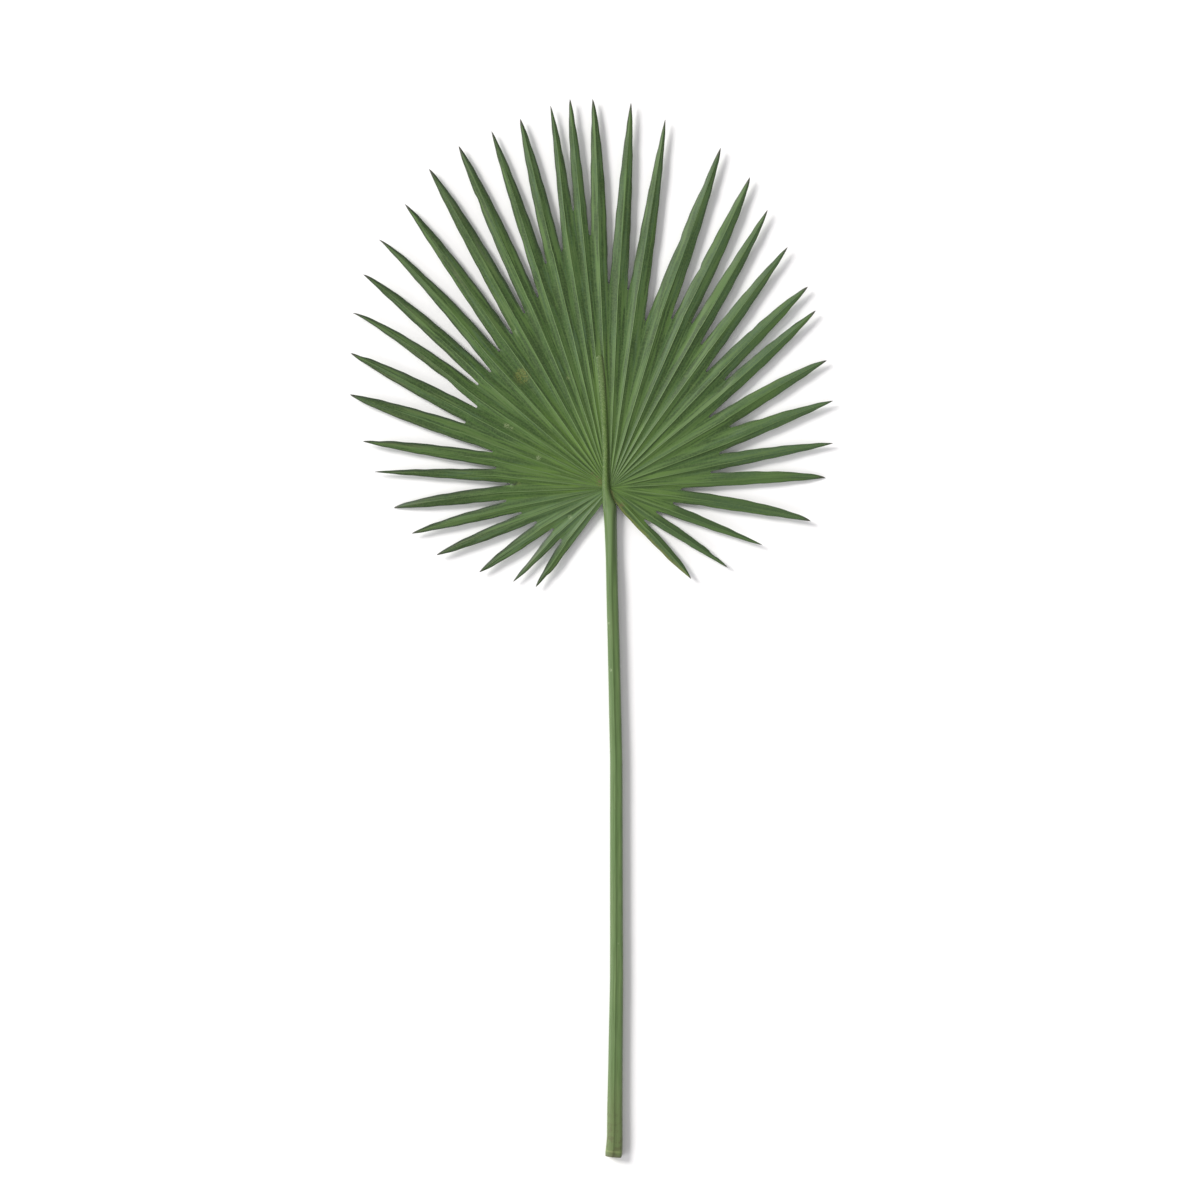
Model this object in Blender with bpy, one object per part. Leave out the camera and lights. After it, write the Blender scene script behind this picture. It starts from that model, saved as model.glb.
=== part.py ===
"""Fan palm leaf lying flat: a pleated fan of 37 pointed fingers on a long stalk with a short raised rib.

Plan positions are given from the hub, where the pleats meet: X to the right, Y from the stalk towards the
longest fingers, Z up. Bearings are in degrees clockwise from +Y. Lengths are in millimetres until the meshes
are made, and in metres in the finished objects.
"""
import math

import bpy
import numpy as np

for old in list(bpy.data.objects):
    bpy.data.objects.remove(old, do_unlink=True)

MM = 0.001

# Fingers, from the lower left round to the lower right: tip bearing, tip reach, tip height above the table,
# then the bearings of the left edge, the crest and the right edge. The edges are read half way along the
# free part, and the crest at its root
FINGERS = [
    (-143.3, 123.5, 6.2, -146.0, -141.4, -140.4), (-134.2, 134.5, 5.6, -135.55, -131.4, -131.1),
    (-122.9, 155.0, 6.2, -124.7, -120.5, -119.4), (-111.2, 185.5, 7.0, -113.1, -110.3, -108.5),
    (-103.0, 203.0, 6.2, -104.1, -101.4, -100.1), (-95.2, 217.0, 0.5, -96.2, -92.4, -91.6),
    (-86.1, 236.0, 6.2, -86.6, -83.9, -83.75), (-79.3, 251.0, 7.4, -79.9, -76.6, -76.4),
    (-70.2, 276.0, 6.4, -72.0, -69.5, -68.05), (-62.5, 292.0, 6.4, -64.05, -62.4, -60.4),
    (-55.8, 311.0, 6.6, -55.8, -55.8, -53.0), (-49.1, 326.0, 7.0, -49.9, -49.3, -46.75),
    (-42.9, 339.0, 5.8, -43.3, -42.5, -40.3), (-35.8, 350.0, 7.0, -36.9, -35.4, -33.75),
    (-29.5, 367.0, 5.6, -30.7, -28.9, -27.45), (-23.8, 374.0, 5.6, -25.0, -23.2, -22.0),
    (-18.3, 376.0, 5.6, -19.3, -18.2, -16.9), (-13.6, 380.0, 6.2, -14.8, -13.5, -12.25),
    (-8.8, 387.0, 6.2, -9.75, -9.5, -7.9), (-5.8, 391.0, 7.0, -6.75, -5.9, -4.95),
    (-2.5, 389.5, 6.2, -3.35, -2.5, -0.85), (3.2, 386.0, 7.0, 1.7, 2.5, 4.35),
    (8.6, 373.0, 7.0, 7.3, 8.3, 10.1), (18.1, 358.0, 7.0, 15.8, 16.7, 19.4),
    (24.3, 341.0, 6.8, 22.6, 23.5, 25.95), (29.6, 320.0, 7.0, 28.3, 29.5, 31.3),
    (36.5, 299.5, 7.2, 34.6, 36.0, 37.95), (44.6, 282.5, 7.0, 41.95, 43.9, 45.8),
    (49.3, 272.0, 6.8, 47.9, 50.3, 51.7), (59.6, 252.0, 6.2, 56.7, 59.6, 61.0),
    (68.7, 240.0, 7.0, 66.2, 69.3, 70.2), (78.7, 228.0, 6.2, 76.0, 78.0, 79.7),
    (87.2, 216.5, 0.5, 83.95, 86.8, 88.5), (99.4, 204.0, 7.4, 95.1, 97.3, 100.25),
    (110.5, 163.5, 7.0, 108.1, 110.2, 112.4), (124.0, 142.5, 6.2, 120.9, 124.2, 126.1),
    (138.2, 122.0, 7.4, 134.5, 138.0, 141.5),
]
# Bottoms of the clefts between neighbouring fingers: bearing and distance from the hub
CLEFTS = [
    (-136.7, 70), (-126.0, 69), (-115.0, 80), (-105.7, 91), (-97.0, 104), (-87.7, 99), (-80.0, 115),
    (-72.7, 122), (-65.6, 158), (-58.6, 155), (-51.8, 167), (-45.7, 166), (-38.8, 175), (-32.3, 182),
    (-25.9, 194), (-20.5, 203), (-15.8, 233), (-11.3, 241), (-7.4, 280), (-4.4, 253), (-0.2, 204),
    (5.4, 199), (12.1, 171), (20.2, 180), (26.5, 184), (32.5, 170), (39.7, 151), (46.9, 158),
    (54.6, 122), (63.1, 135), (72.4, 115), (81.2, 102), (90.9, 71), (103.3, 65), (116.8, 52), (132.2, 47),
]
# Free outer edges of the first and last finger, from under the stalk outwards: bearing and distance
FIRST_EDGE = [
    (-162.0, 9.9), (-154.0, 17.6), (-148.8, 35.0), (-146.7, 60.0), (-145.9, 80.0), (-145.4, 100.0),
    (-145.1, 104.0), (-144.4, 107.5), (-143.8, 120.0),
]
LAST_EDGE = [
    (166.0, 12.0), (155.5, 18.0), (147.5, 38.0), (143.25, 60.0), (142.25, 70.0), (141.0, 85.0),
    (139.9, 100.0),
]
OUTER_ROOTS = ((-146.3, 66.0), (143.3, 60.0))   # where the two outer edges count as free

BLADE_THICK = 1.0        # measured straight up, so a steep fold is still over 0.7 thick
RING_RISE = 0.24         # crest height of a fold for each millimetre of its half width, in the undivided fan
FREE_RISE = 0.30         # and in the free fingers
FLANKS = ((0.45, 0.80), (0.60, 1.05))   # left and right: where the flank ends and where the valley is flat
FREE_FLANK = (0.98, 1.02)               # the same for the two nearly flat faces of a free finger
FREE_BLEND = 0.2         # the free form is reached over this share of the free length
ROUND_FADE = 40.0        # the fold takes up the room of the cleft bottom over this length
HUB_LEVEL = 7.0          # height of the middle of the sheet at the hub and under the rib
VALLEY_LEVEL = 5.8       # height of the valleys where the fingers part
CLEFT_ROUND = 1.1        # radius of a narrow cleft bottom
TAPER_POWER = 0.70       # a finger narrows as the edge of an oval, then closes to its point
TIP_CURVE = 1.6          # power by which a free finger leaves the valley level for its tip's height
HOOK_CURVE = 5.0         # the same for a tip that bends down to the table
HOOK_BELOW = 3.0         # tips lower than this bend down late
HUB_FLAT = 6.0           # the folds begin this far from the hub
HUB_BLEND = 34.0         # and reach their full height over this distance
INNER_STEPS = [0.0, 8.0, 20.0]              # stations near the hub, on every line
OUTER_STEPS = [45.0, 85.0, 137.0]           # further stations on a line that stays undivided for long
LONG_RING = 160.0                           # a line this long or longer uses them
SHORT_PARTS = 4                             # a shorter line is divided into this many equal parts
FREE_STEPS = [0.09, 0.21, 0.34, 0.47, 0.60, 0.72, 0.83, 0.92, 1.0]   # shares of a finger's free length
SHOULDER = 0.66          # where the extra line runs between crest (0) and valley (1)

# Stalk and rib: distance from the hub along Y, left side, right side, underside and top
STALK = [
    (-668.6, -4.3, 12.0, 0.0, 11.6), (-665.0, -4.2, 12.9, 0.0, 11.7), (-657.0, -3.3, 13.1, 0.0, 11.6),
    (-649.0, -2.6, 13.2, 0.0, 11.4), (-620.0, -2.3, 13.0, 0.0, 11.2), (-560.0, -1.0, 13.3, 0.0, 11.0),
    (-492.0, 0.4, 13.8, 0.0, 11.0), (-380.0, 0.5, 13.4, 0.0, 11.0), (-272.0, 0.5, 13.0, 0.0, 11.0),
    (-170.0, -1.6, 10.6, 0.0, 11.0), (-110.0, -3.0, 8.8, 0.0, 11.0), (-72.0, -3.8, 8.0, 0.0, 11.1),
    (-40.0, -5.0, 7.5, 0.0, 11.3), (-27.0, -5.8, 7.5, 0.0, 11.5), (-23.0, -6.2, 7.4, 1.6, 11.6),
    (-19.0, -6.7, 7.1, 5.4, 11.7), (-16.5, -6.8, 6.2, 7.8, 11.8), (-11.0, -7.0, 3.6, 7.8, 11.7),
    (-5.0, -7.3, 1.4, 7.8, 11.3), (1.0, -7.8, 0.0, 7.8, 10.9), (18.0, -7.2, -0.9, 7.8, 10.4),
    (38.0, -7.0, -0.8, 7.8, 10.1), (50.0, -7.7, -1.2, 7.8, 10.0), (82.0, -9.2, -2.4, 7.8, 9.8),
    (109.0, -11.2, -4.0, 7.8, 9.8), (126.0, -13.2, -5.8, 7.8, 9.9), (130.0, -13.4, -6.3, 7.8, 9.7),
    (132.0, -12.4, -7.4, 7.8, 9.2), (132.9, -11.0, -8.8, 7.9, 8.6),
]
STALK_STEP = 24.0        # greatest spacing, about, between two stations of the stalk
RIB_FROM = -11.0         # the rib's middle line is followed from here outwards
FOOT_SLANT = -0.10       # slope of the cut foot across its width
FOOT_FROM = -620.0       # the slant grows from here
FOOT_LENGTH = 48.0       # over this length, to the cut
# Stalk section across (0 left, 1 right) and up (0 underside, 1 top): flat below, keeled above
SECTION = [
    (0.16, 0.0), (0.84, 0.0), (0.94, 0.06), (0.99, 0.20), (1.0, 0.42), (0.98, 0.64), (0.91, 0.83),
    (0.78, 0.90), (0.62, 0.925), (0.50, 0.96), (0.43, 1.0), (0.36, 0.985), (0.25, 0.95), (0.13, 0.88),
    (0.05, 0.76), (0.0, 0.50), (0.01, 0.20), (0.06, 0.06),
]
FLAT_NEAR = 4.6          # the sheet lies flat this near to the rib's middle line
FLAT_FAR = 9.5           # and has its full folds from here outwards


def plan(bearing, reach):
    """Plan point for a bearing in degrees and a distance from the hub."""
    turn = math.radians(bearing)
    return reach * math.sin(turn), reach * math.cos(turn)


def smooth(value):
    """Ease from 0 to 1 as the value goes from 0 to 1, and stay there outside."""
    value = min(1.0, max(0.0, value))
    return value * value * (3.0 - 2.0 * value)


def rib_distance(x, y):
    """Distance in plan from the middle line of the rib."""
    rows = [row for row in STALK if row[0] >= RIB_FROM]
    ys = [row[0] for row in rows]
    mids = [(row[1] + row[2]) / 2 for row in rows]
    if y > ys[-1]:
        return math.hypot(x - mids[-1], y - ys[-1])
    return abs(x - np.interp(y, ys, mids))


def ring_reaches(reach):
    """Distances from the hub of the stations on one line of the undivided part of the fan."""
    if reach > LONG_RING:
        return INNER_STEPS + OUTER_STEPS + [reach]
    start = INNER_STEPS[-1]
    return INNER_STEPS + [start + (reach - start) * k / SHORT_PARTS for k in range(1, SHORT_PARTS + 1)]


def fold_share(across, side, out):
    """Share of the crest's height, for a flat flank that eases into the valley; side 0 is left, 1 right."""
    blend = smooth(out / FREE_BLEND)
    start, end = (a + (b - a) * blend for a, b in zip(FLANKS[side], FREE_FLANK))
    part = min(1.0, max(0.0, (across - start) / (end - start)))
    fallen = min(across, start) + (end - start) * (part - part ** 3 + 0.5 * part ** 4)
    return 1.0 - fallen / (start + 0.5 * (end - start))


def level(x, y, ground, lift):
    """Height of the middle of the sheet: valley level plus the fold's lift, both eased in from the hub."""
    folded = ground + lift
    near = smooth((rib_distance(x, y) - FLAT_NEAR) / (FLAT_FAR - FLAT_NEAR))
    hub = smooth((math.hypot(x, y) - HUB_FLAT) / HUB_BLEND)
    return HUB_LEVEL + (folded - HUB_LEVEL) * near * hub


def valley_ground(reach, cleft_reach):
    """Valley height: it sinks from the hub towards the cleft."""
    return HUB_LEVEL + (VALLEY_LEVEL - HUB_LEVEL) * smooth(reach / cleft_reach)


def free_edge(rows, tip, reach):
    """Bearing of an outer free edge at a given distance from the hub."""
    marks = rows + [(tip[0], tip[1])]
    return float(np.interp(reach, [m[1] for m in marks], [m[0] for m in marks]))


def polar(points):
    """Distances from the hub and bearings of plan points."""
    bearings = [math.degrees(math.atan2(x, y)) for x, y in points]
    bearings[0] = bearings[1]
    return [math.hypot(x, y) for x, y in points], bearings


def bulge(along):
    """Shape of a finger's edge between its root (0) and tip (1), as a share of its bulge half way."""
    half = 0.75 ** TAPER_POWER - 0.5
    return (max(0.0, 1.0 - along * along) ** TAPER_POWER - (1.0 - along)) / half


def edge_line(root, tip, middle, side, outer):
    """Plan points of one edge of a finger from the hub to the tip; side is -1 on the left, 1 on the right.

    Up to the cleft it runs along one bearing. Beyond, its two ends and its half-way point are given, and it
    swells between them. An outer edge follows its own rows instead.
    """
    points = []
    for reach in ring_reaches(root[1]):
        bearing = root[0]
        if outer and reach > 0.0:
            bearing = free_edge(outer, tip, max(reach, outer[0][1]))
        points.append(plan(bearing, reach))
    free = [CLEFT_ROUND] + [f * (tip[1] - root[1]) for f in FREE_STEPS]
    if outer:
        return points + [plan(free_edge(outer, tip, root[1] + step), root[1] + step) for step in free]
    shift = math.degrees(CLEFT_ROUND / root[1]) * side
    start = np.array(plan(root[0] - shift, root[1] + CLEFT_ROUND))
    end = np.array(plan(tip[0], tip[1]))
    run = end - start
    across = np.array((run[1], -run[0])) / math.hypot(*run) * side
    half = np.array(plan(middle, (root[1] + tip[1]) / 2))
    swell = float(np.dot(half - (start + end) / 2, across))
    points.append(tuple(start))
    for along in FREE_STEPS:
        points.append(tuple(start + run * along + across * swell * bulge(along)))
    points[-1] = tuple(end)
    return points


def finger(index):
    """Five lines of stations for one finger: left edge, left shoulder, crest, right shoulder, right edge."""
    tip = FINGERS[index][:2]
    tip_height, left_middle, crest_bearing, right_middle = FINGERS[index][2:]
    first = index == 0
    last = index == len(FINGERS) - 1
    left = OUTER_ROOTS[0] if first else CLEFTS[index - 1]
    right = OUTER_ROOTS[1] if last else CLEFTS[index]
    left_line = edge_line(left, tip, left_middle, -1, FIRST_EDGE if first else None)
    right_line = edge_line(right, tip, right_middle, 1, LAST_EDGE if last else None)
    root = (left[1] + right[1]) / 2
    left_at = polar(left_line)
    right_at = polar(right_line)

    def between(reach):
        return [float(np.interp(reach, line[0], line[1])) for line in (left_at, right_at)]

    low, high = between(root)
    share = (crest_bearing - low) / (high - low)
    crest_at = [(crest_bearing, reach) for reach in ring_reaches(root)]
    ring = len(crest_at)
    for step in [CLEFT_ROUND] + [f * (tip[1] - root) for f in FREE_STEPS]:
        low, high = between(root + step)
        part = share + (0.5 - share) * smooth(step / (tip[1] - root))
        crest_at.append((low + (high - low) * part, root + step))
    crest_at[-1] = tip

    lines = [[], [], [], [], []]
    for k, (crest_turn, crest_reach) in enumerate(crest_at):
        cx, cy = plan(crest_turn, crest_reach)
        out = max(0.0, (crest_reach - root) / (tip[1] - root))
        slope = RING_RISE + (FREE_RISE - RING_RISE) * smooth(out / FREE_BLEND)
        curve = HOOK_CURVE if tip_height < HOOK_BELOW else TIP_CURVE
        spare = CLEFT_ROUND * (1.0 - smooth((crest_reach - root) / ROUND_FADE)) if k >= ring else 0.0
        sides = []
        for line, line_at, cleft in ((left_line, left_at, left), (right_line, right_at, right)):
            reach = line_at[0][k]
            turn = crest_turn - line_at[1][k] if k else 0.0
            half = math.radians(abs(turn)) * (reach + crest_reach) / 2
            ground = valley_ground(reach, cleft[1])
            if k >= ring:
                ground = VALLEY_LEVEL + (tip_height - VALLEY_LEVEL) * out ** curve
            sides.append((line[k], ground, slope * (half + spare)))
        middle = (sides[0][1] + sides[1][1]) / 2
        crest = (sides[0][2] + sides[1][2]) / 2
        lines[2].append((cx, cy, level(cx, cy, middle, crest)))
        for side, slot, shoulder in ((0, 0, 1), (1, 4, 3)):
            (ex, ey), ground, rise = sides[side]
            sx = cx + (ex - cx) * SHOULDER
            sy = cy + (ey - cy) * SHOULDER
            lines[slot].append((ex, ey, level(ex, ey, ground, 0.0)))
            part_ground = middle + (ground - middle) * SHOULDER
            lift = rise * fold_share(SHOULDER, side, out)
            lines[shoulder].append((sx, sy, level(sx, sy, part_ground, lift)))
    return lines


def blade_sheet():
    """Points and triangles of the middle of the sheet; neighbouring fingers share their valley points."""
    points = []
    index_of = {}
    faces = []

    def vertex(point):
        key = (round(point[0], 4), round(point[1], 4))
        if key not in index_of:
            index_of[key] = len(points)
            points.append(point)
        return index_of[key]

    for i in range(len(FINGERS)):
        rows = [[vertex(point) for point in stations] for stations in zip(*finger(i))]
        for near, far in zip(rows[:-1], rows[1:]):
            for j in range(4):
                a, b, c, d = near[j], near[j + 1], far[j + 1], far[j]
                split = ((a, b, c), (a, c, d)) if j < 2 else ((a, b, d), (b, c, d))
                faces += [tri for tri in split if len(set(tri)) == 3]
    return points, faces


def thicken(points, faces, thick):
    """Turn an open sheet into a closed solid by doubling it straight up and walling its rim."""
    count = len(points)
    verts = [(x, y, z + thick / 2) for x, y, z in points]
    verts += [(x, y, z - thick / 2) for x, y, z in points]
    solid = list(faces)
    solid += [(a + count, c + count, b + count) for a, b, c in faces]
    sides = {side: True for a, b, c in faces for side in ((a, b), (b, c), (c, a))}
    for a, b in sides:
        if (b, a) not in sides:
            solid.append((a, a + count, b + count))
            solid.append((a, b + count, b))
    return verts, solid


def stalk_rows():
    """Stalk stations, with evenly spaced ones added between those that are far apart."""
    table = np.array(STALK)
    stations = []
    for low, high in zip(table[:-1, 0], table[1:, 0]):
        parts = max(1, int(round((high - low) / STALK_STEP)))
        stations += [low + (high - low) * k / parts for k in range(parts)]
    stations.append(table[-1, 0])
    return [[y] + [float(np.interp(y, table[:, 0], table[:, c])) for c in range(1, 5)] for y in stations]


def stalk_mesh():
    """Loft the keeled section along the stalk and over the hub to the rounded end of the rib."""
    verts = []
    faces = []
    rows = stalk_rows()
    around = len(SECTION)
    for y, left, right, under, top in rows:
        slant = FOOT_SLANT * smooth((FOOT_FROM - y) / FOOT_LENGTH)
        centre = (left + right) / 2
        for across, up in SECTION:
            x = left + (right - left) * across
            verts.append((x, y + slant * (x - centre), under + (top - under) * up))
    for k in range(len(rows) - 1):
        for j in range(around):
            a = k * around + j
            b = k * around + (j + 1) % around
            faces.append((a, b + around, b))
            faces.append((a, a + around, b + around))
    for k, turn in ((0, True), (len(rows) - 1, False)):
        ring = [k * around + j for j in range(around)]
        middle = len(verts)
        verts.append(tuple(np.mean([verts[r] for r in ring], axis=0)))
        for j in range(around):
            a, b = ring[j], ring[(j + 1) % around]
            faces.append((middle, a, b) if turn else (middle, b, a))
    return verts, faces


def add_object(name, verts, faces, shift, colour, roughness):
    """Make a named object from points in millimetres, moved so that the shift becomes its origin."""
    mesh = bpy.data.meshes.new(name)
    mesh.from_pydata([tuple((p[i] - shift[i]) * MM for i in range(3)) for p in verts], [], faces)
    mesh.validate()
    mesh.update()
    material = bpy.data.materials.new(name + "_colour")
    material.use_nodes = True
    shader = material.node_tree.nodes["Principled BSDF"]
    shader.inputs["Base Color"].default_value = (*colour, 1.0)
    shader.inputs["Roughness"].default_value = roughness
    mesh.materials.append(material)
    made = bpy.data.objects.new(name, mesh)
    bpy.context.scene.collection.objects.link(made)
    return made


blade_verts, blade_faces = thicken(*blade_sheet(), BLADE_THICK)
stalk_verts, stalk_faces = stalk_mesh()

every = np.array(blade_verts + stalk_verts)
low = every.min(axis=0)
high = every.max(axis=0)
origin = ((low[0] + high[0]) / 2, (low[1] + high[1]) / 2, low[2])

add_object("leaf_blade", blade_verts, blade_faces, origin, (0.105, 0.205, 0.062), 0.55)
add_object("leaf_stalk", stalk_verts, stalk_faces, origin, (0.190, 0.310, 0.105), 0.50)
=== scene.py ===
"""Fan palm leaf lying face up: the finished surfaces of its blade, stalk and rib, on a pale floor.

Plan positions are given from the hub, where the pleats meet: X to the right, Y from the stalk towards the
longest fingers, Z up. Bearings are in degrees clockwise from +Y. Lengths are in millimetres where a name or
comment says so, and in metres in the meshes and in the panel.
"""
import math

import bpy
import numpy as np
from bpy.props import FloatProperty, FloatVectorProperty, IntProperty, PointerProperty
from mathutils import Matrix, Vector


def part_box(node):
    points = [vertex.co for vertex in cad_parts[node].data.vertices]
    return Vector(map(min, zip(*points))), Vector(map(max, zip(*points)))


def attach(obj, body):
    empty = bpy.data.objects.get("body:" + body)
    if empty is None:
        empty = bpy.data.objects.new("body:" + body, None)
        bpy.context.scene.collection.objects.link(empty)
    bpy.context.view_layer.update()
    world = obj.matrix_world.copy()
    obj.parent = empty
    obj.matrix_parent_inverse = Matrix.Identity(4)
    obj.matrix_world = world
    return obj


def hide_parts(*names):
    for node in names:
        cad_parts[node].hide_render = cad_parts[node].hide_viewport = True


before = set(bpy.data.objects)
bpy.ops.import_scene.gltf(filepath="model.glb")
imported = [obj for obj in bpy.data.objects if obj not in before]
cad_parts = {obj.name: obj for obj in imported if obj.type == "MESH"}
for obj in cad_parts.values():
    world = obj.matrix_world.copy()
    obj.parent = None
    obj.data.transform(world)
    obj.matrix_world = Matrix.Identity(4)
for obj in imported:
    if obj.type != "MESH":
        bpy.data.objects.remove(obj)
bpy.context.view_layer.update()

bl_info = {
    "name": "Fan palm leaf",
    "version": (1, 0, 0),
    "blender": (4, 5, 0),
    "location": "3D View > Sidebar > Palm leaf",
    "description": "Makes the pleated blade, the stalk and the stage of a fan palm leaf",
    "category": "Object",
}

MM = 0.001

# Fingers, from the lower left round to the lower right: tip bearing, tip reach, tip height above the table,
# then the bearings of the left edge, the crest and the right edge. The edges are read half way along the
# free part, and the crest at its root
FINGERS = [
    (-143.3, 123.5, 6.2, -146.0, -141.4, -140.4), (-134.2, 134.5, 5.6, -135.55, -131.4, -131.1),
    (-122.9, 155.0, 6.2, -124.7, -120.5, -119.4), (-111.2, 185.5, 7.0, -113.1, -110.3, -108.5),
    (-103.0, 203.0, 6.2, -104.1, -101.4, -100.1), (-95.2, 217.0, 0.5, -96.2, -92.4, -91.6),
    (-86.1, 236.0, 6.2, -86.6, -83.9, -83.75), (-79.3, 251.0, 7.4, -79.9, -76.6, -76.4),
    (-70.2, 276.0, 6.4, -72.0, -69.5, -68.05), (-62.5, 292.0, 6.4, -64.05, -62.4, -60.4),
    (-55.8, 311.0, 6.6, -55.8, -55.8, -53.0), (-49.1, 326.0, 7.0, -49.9, -49.3, -46.75),
    (-42.9, 339.0, 5.8, -43.3, -42.5, -40.3), (-35.8, 350.0, 7.0, -36.9, -35.4, -33.75),
    (-29.5, 367.0, 5.6, -30.7, -28.9, -27.45), (-23.8, 374.0, 5.6, -25.0, -23.2, -22.0),
    (-18.3, 376.0, 5.6, -19.3, -18.2, -16.9), (-13.6, 380.0, 6.2, -14.8, -13.5, -12.25),
    (-8.8, 387.0, 6.2, -9.75, -9.5, -7.9), (-5.8, 391.0, 7.0, -6.75, -5.9, -4.95),
    (-2.5, 389.5, 6.2, -3.35, -2.5, -0.85), (3.2, 386.0, 7.0, 1.7, 2.5, 4.35),
    (8.6, 373.0, 7.0, 7.3, 8.3, 10.1), (18.1, 358.0, 7.0, 15.8, 16.7, 19.4),
    (24.3, 341.0, 6.8, 22.6, 23.5, 25.95), (29.6, 320.0, 7.0, 28.3, 29.5, 31.3),
    (36.5, 299.5, 7.2, 34.6, 36.0, 37.95), (44.6, 282.5, 7.0, 41.95, 43.9, 45.8),
    (49.3, 272.0, 6.8, 47.9, 50.3, 51.7), (59.6, 252.0, 6.2, 56.7, 59.6, 61.0),
    (68.7, 240.0, 7.0, 66.2, 69.3, 70.2), (78.7, 228.0, 6.2, 76.0, 78.0, 79.7),
    (87.2, 216.5, 0.5, 83.95, 86.8, 88.5), (99.4, 204.0, 7.4, 95.1, 97.3, 100.25),
    (110.5, 163.5, 7.0, 108.1, 110.2, 112.4), (124.0, 142.5, 6.2, 120.9, 124.2, 126.1),
    (138.2, 122.0, 7.4, 134.5, 138.0, 141.5),
]
# Bottoms of the clefts between neighbouring fingers: bearing and distance from the hub
CLEFTS = [
    (-136.7, 70), (-126.0, 69), (-115.0, 80), (-105.7, 91), (-97.0, 104), (-87.7, 99), (-80.0, 115),
    (-72.7, 122), (-65.6, 158), (-58.6, 155), (-51.8, 167), (-45.7, 166), (-38.8, 175), (-32.3, 182),
    (-25.9, 194), (-20.5, 203), (-15.8, 233), (-11.3, 241), (-7.4, 280), (-4.4, 253), (-0.2, 204),
    (5.4, 199), (12.1, 171), (20.2, 180), (26.5, 184), (32.5, 170), (39.7, 151), (46.9, 158),
    (54.6, 122), (63.1, 135), (72.4, 115), (81.2, 102), (90.9, 71), (103.3, 65), (116.8, 52), (132.2, 47),
]
# Free outer edges of the first and last finger, from under the stalk outwards: bearing and distance
FIRST_EDGE = [
    (-162.0, 9.9), (-154.0, 17.6), (-148.8, 35.0), (-146.7, 60.0), (-145.9, 80.0), (-145.4, 100.0),
    (-145.1, 104.0), (-144.4, 107.5), (-143.8, 120.0),
]
LAST_EDGE = [
    (166.0, 12.0), (155.5, 18.0), (147.5, 38.0), (143.25, 60.0), (142.25, 70.0), (141.0, 85.0),
    (139.9, 100.0),
]
OUTER_ROOTS = ((-146.3, 66.0), (143.3, 60.0))   # where the two outer edges count as free
# Places where an edge steps in: finger, side, distance from the hub, depth and length in millimetres
EDGE_STEPS = [
    (23, -1, 255.0, 1.5, 16.0), (23, -1, 318.0, 1.0, 20.0), (24, -1, 237.0, 1.3, 10.0),
    (35, -1, 123.0, 1.2, 9.0), (10, -1, 196.0, 1.2, 18.0), (30, -1, 168.0, 0.9, 12.0),
    (33, 1, 92.0, 1.0, 12.0), (1, 1, 108.0, 1.0, 18.0), (15, -1, 316.0, 1.0, 14.0),
    (16, -1, 258.0, 0.9, 14.0), (7, 1, 236.0, 0.8, 10.0), (9, 1, 282.0, 0.8, 12.0),
    (12, 1, 280.0, 0.9, 18.0), (27, -1, 214.0, 0.8, 9.0),
]
# Creases that run on below a cleft, drawn as dark lines of painted shade: cleft number, and where the crease
# starts, in millimetres
CREASES = {18: 247.0, 21: 180.0, 17: 234.0, 20: 194.0, 5: 91.0, 22: 163.0, 24: 176.0}

CLEFT_ROUND = 1.05       # radius of a narrow cleft bottom
ROUND_FADE = 40.0        # the fold takes up the room of the cleft bottom over this length
TAPER_POWER = 0.70       # a finger narrows as the edge of an oval, then closes to its point
RING_COUNT = 26          # stations from the hub to the root of a finger
RING_CROWDING = 1.2      # power that draws them closer together at the hub
ROUND_COUNT = 3          # stations round the bottom of a cleft
FREE_COUNT = 34          # stations along a free finger
COLUMNS = [0.0, 0.05, 0.13, 0.26, 0.42, 0.60, 0.78, 0.92, 1.0]   # from the crest to one edge
EDGE_WOBBLE = 0.16       # how far an edge wanders, in millimetres
CALM_ROOT = 0.06         # steps and wander set in over this share of a free finger from its root,
CALM_TIP = 0.05          # fade over this share towards its tip,
CALM_WIDTH = 3.0         # and shrink where half the finger is narrower than this
CREASE_FADE = 8.0        # a crease deepens over this length
RIB_FROM = -11.0         # the rib's middle line is followed from here outwards
UV_WIDTH = 100.0         # millimetres across and along the blade that fill its map
UV_LENGTH = 400.0
# What the pattern of a finger carries at each point
MEASURES = ("across", "half", "fold", "fall", "sink", "out", "tip_height", "reach", "finger", "crease",
            "right")

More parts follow.
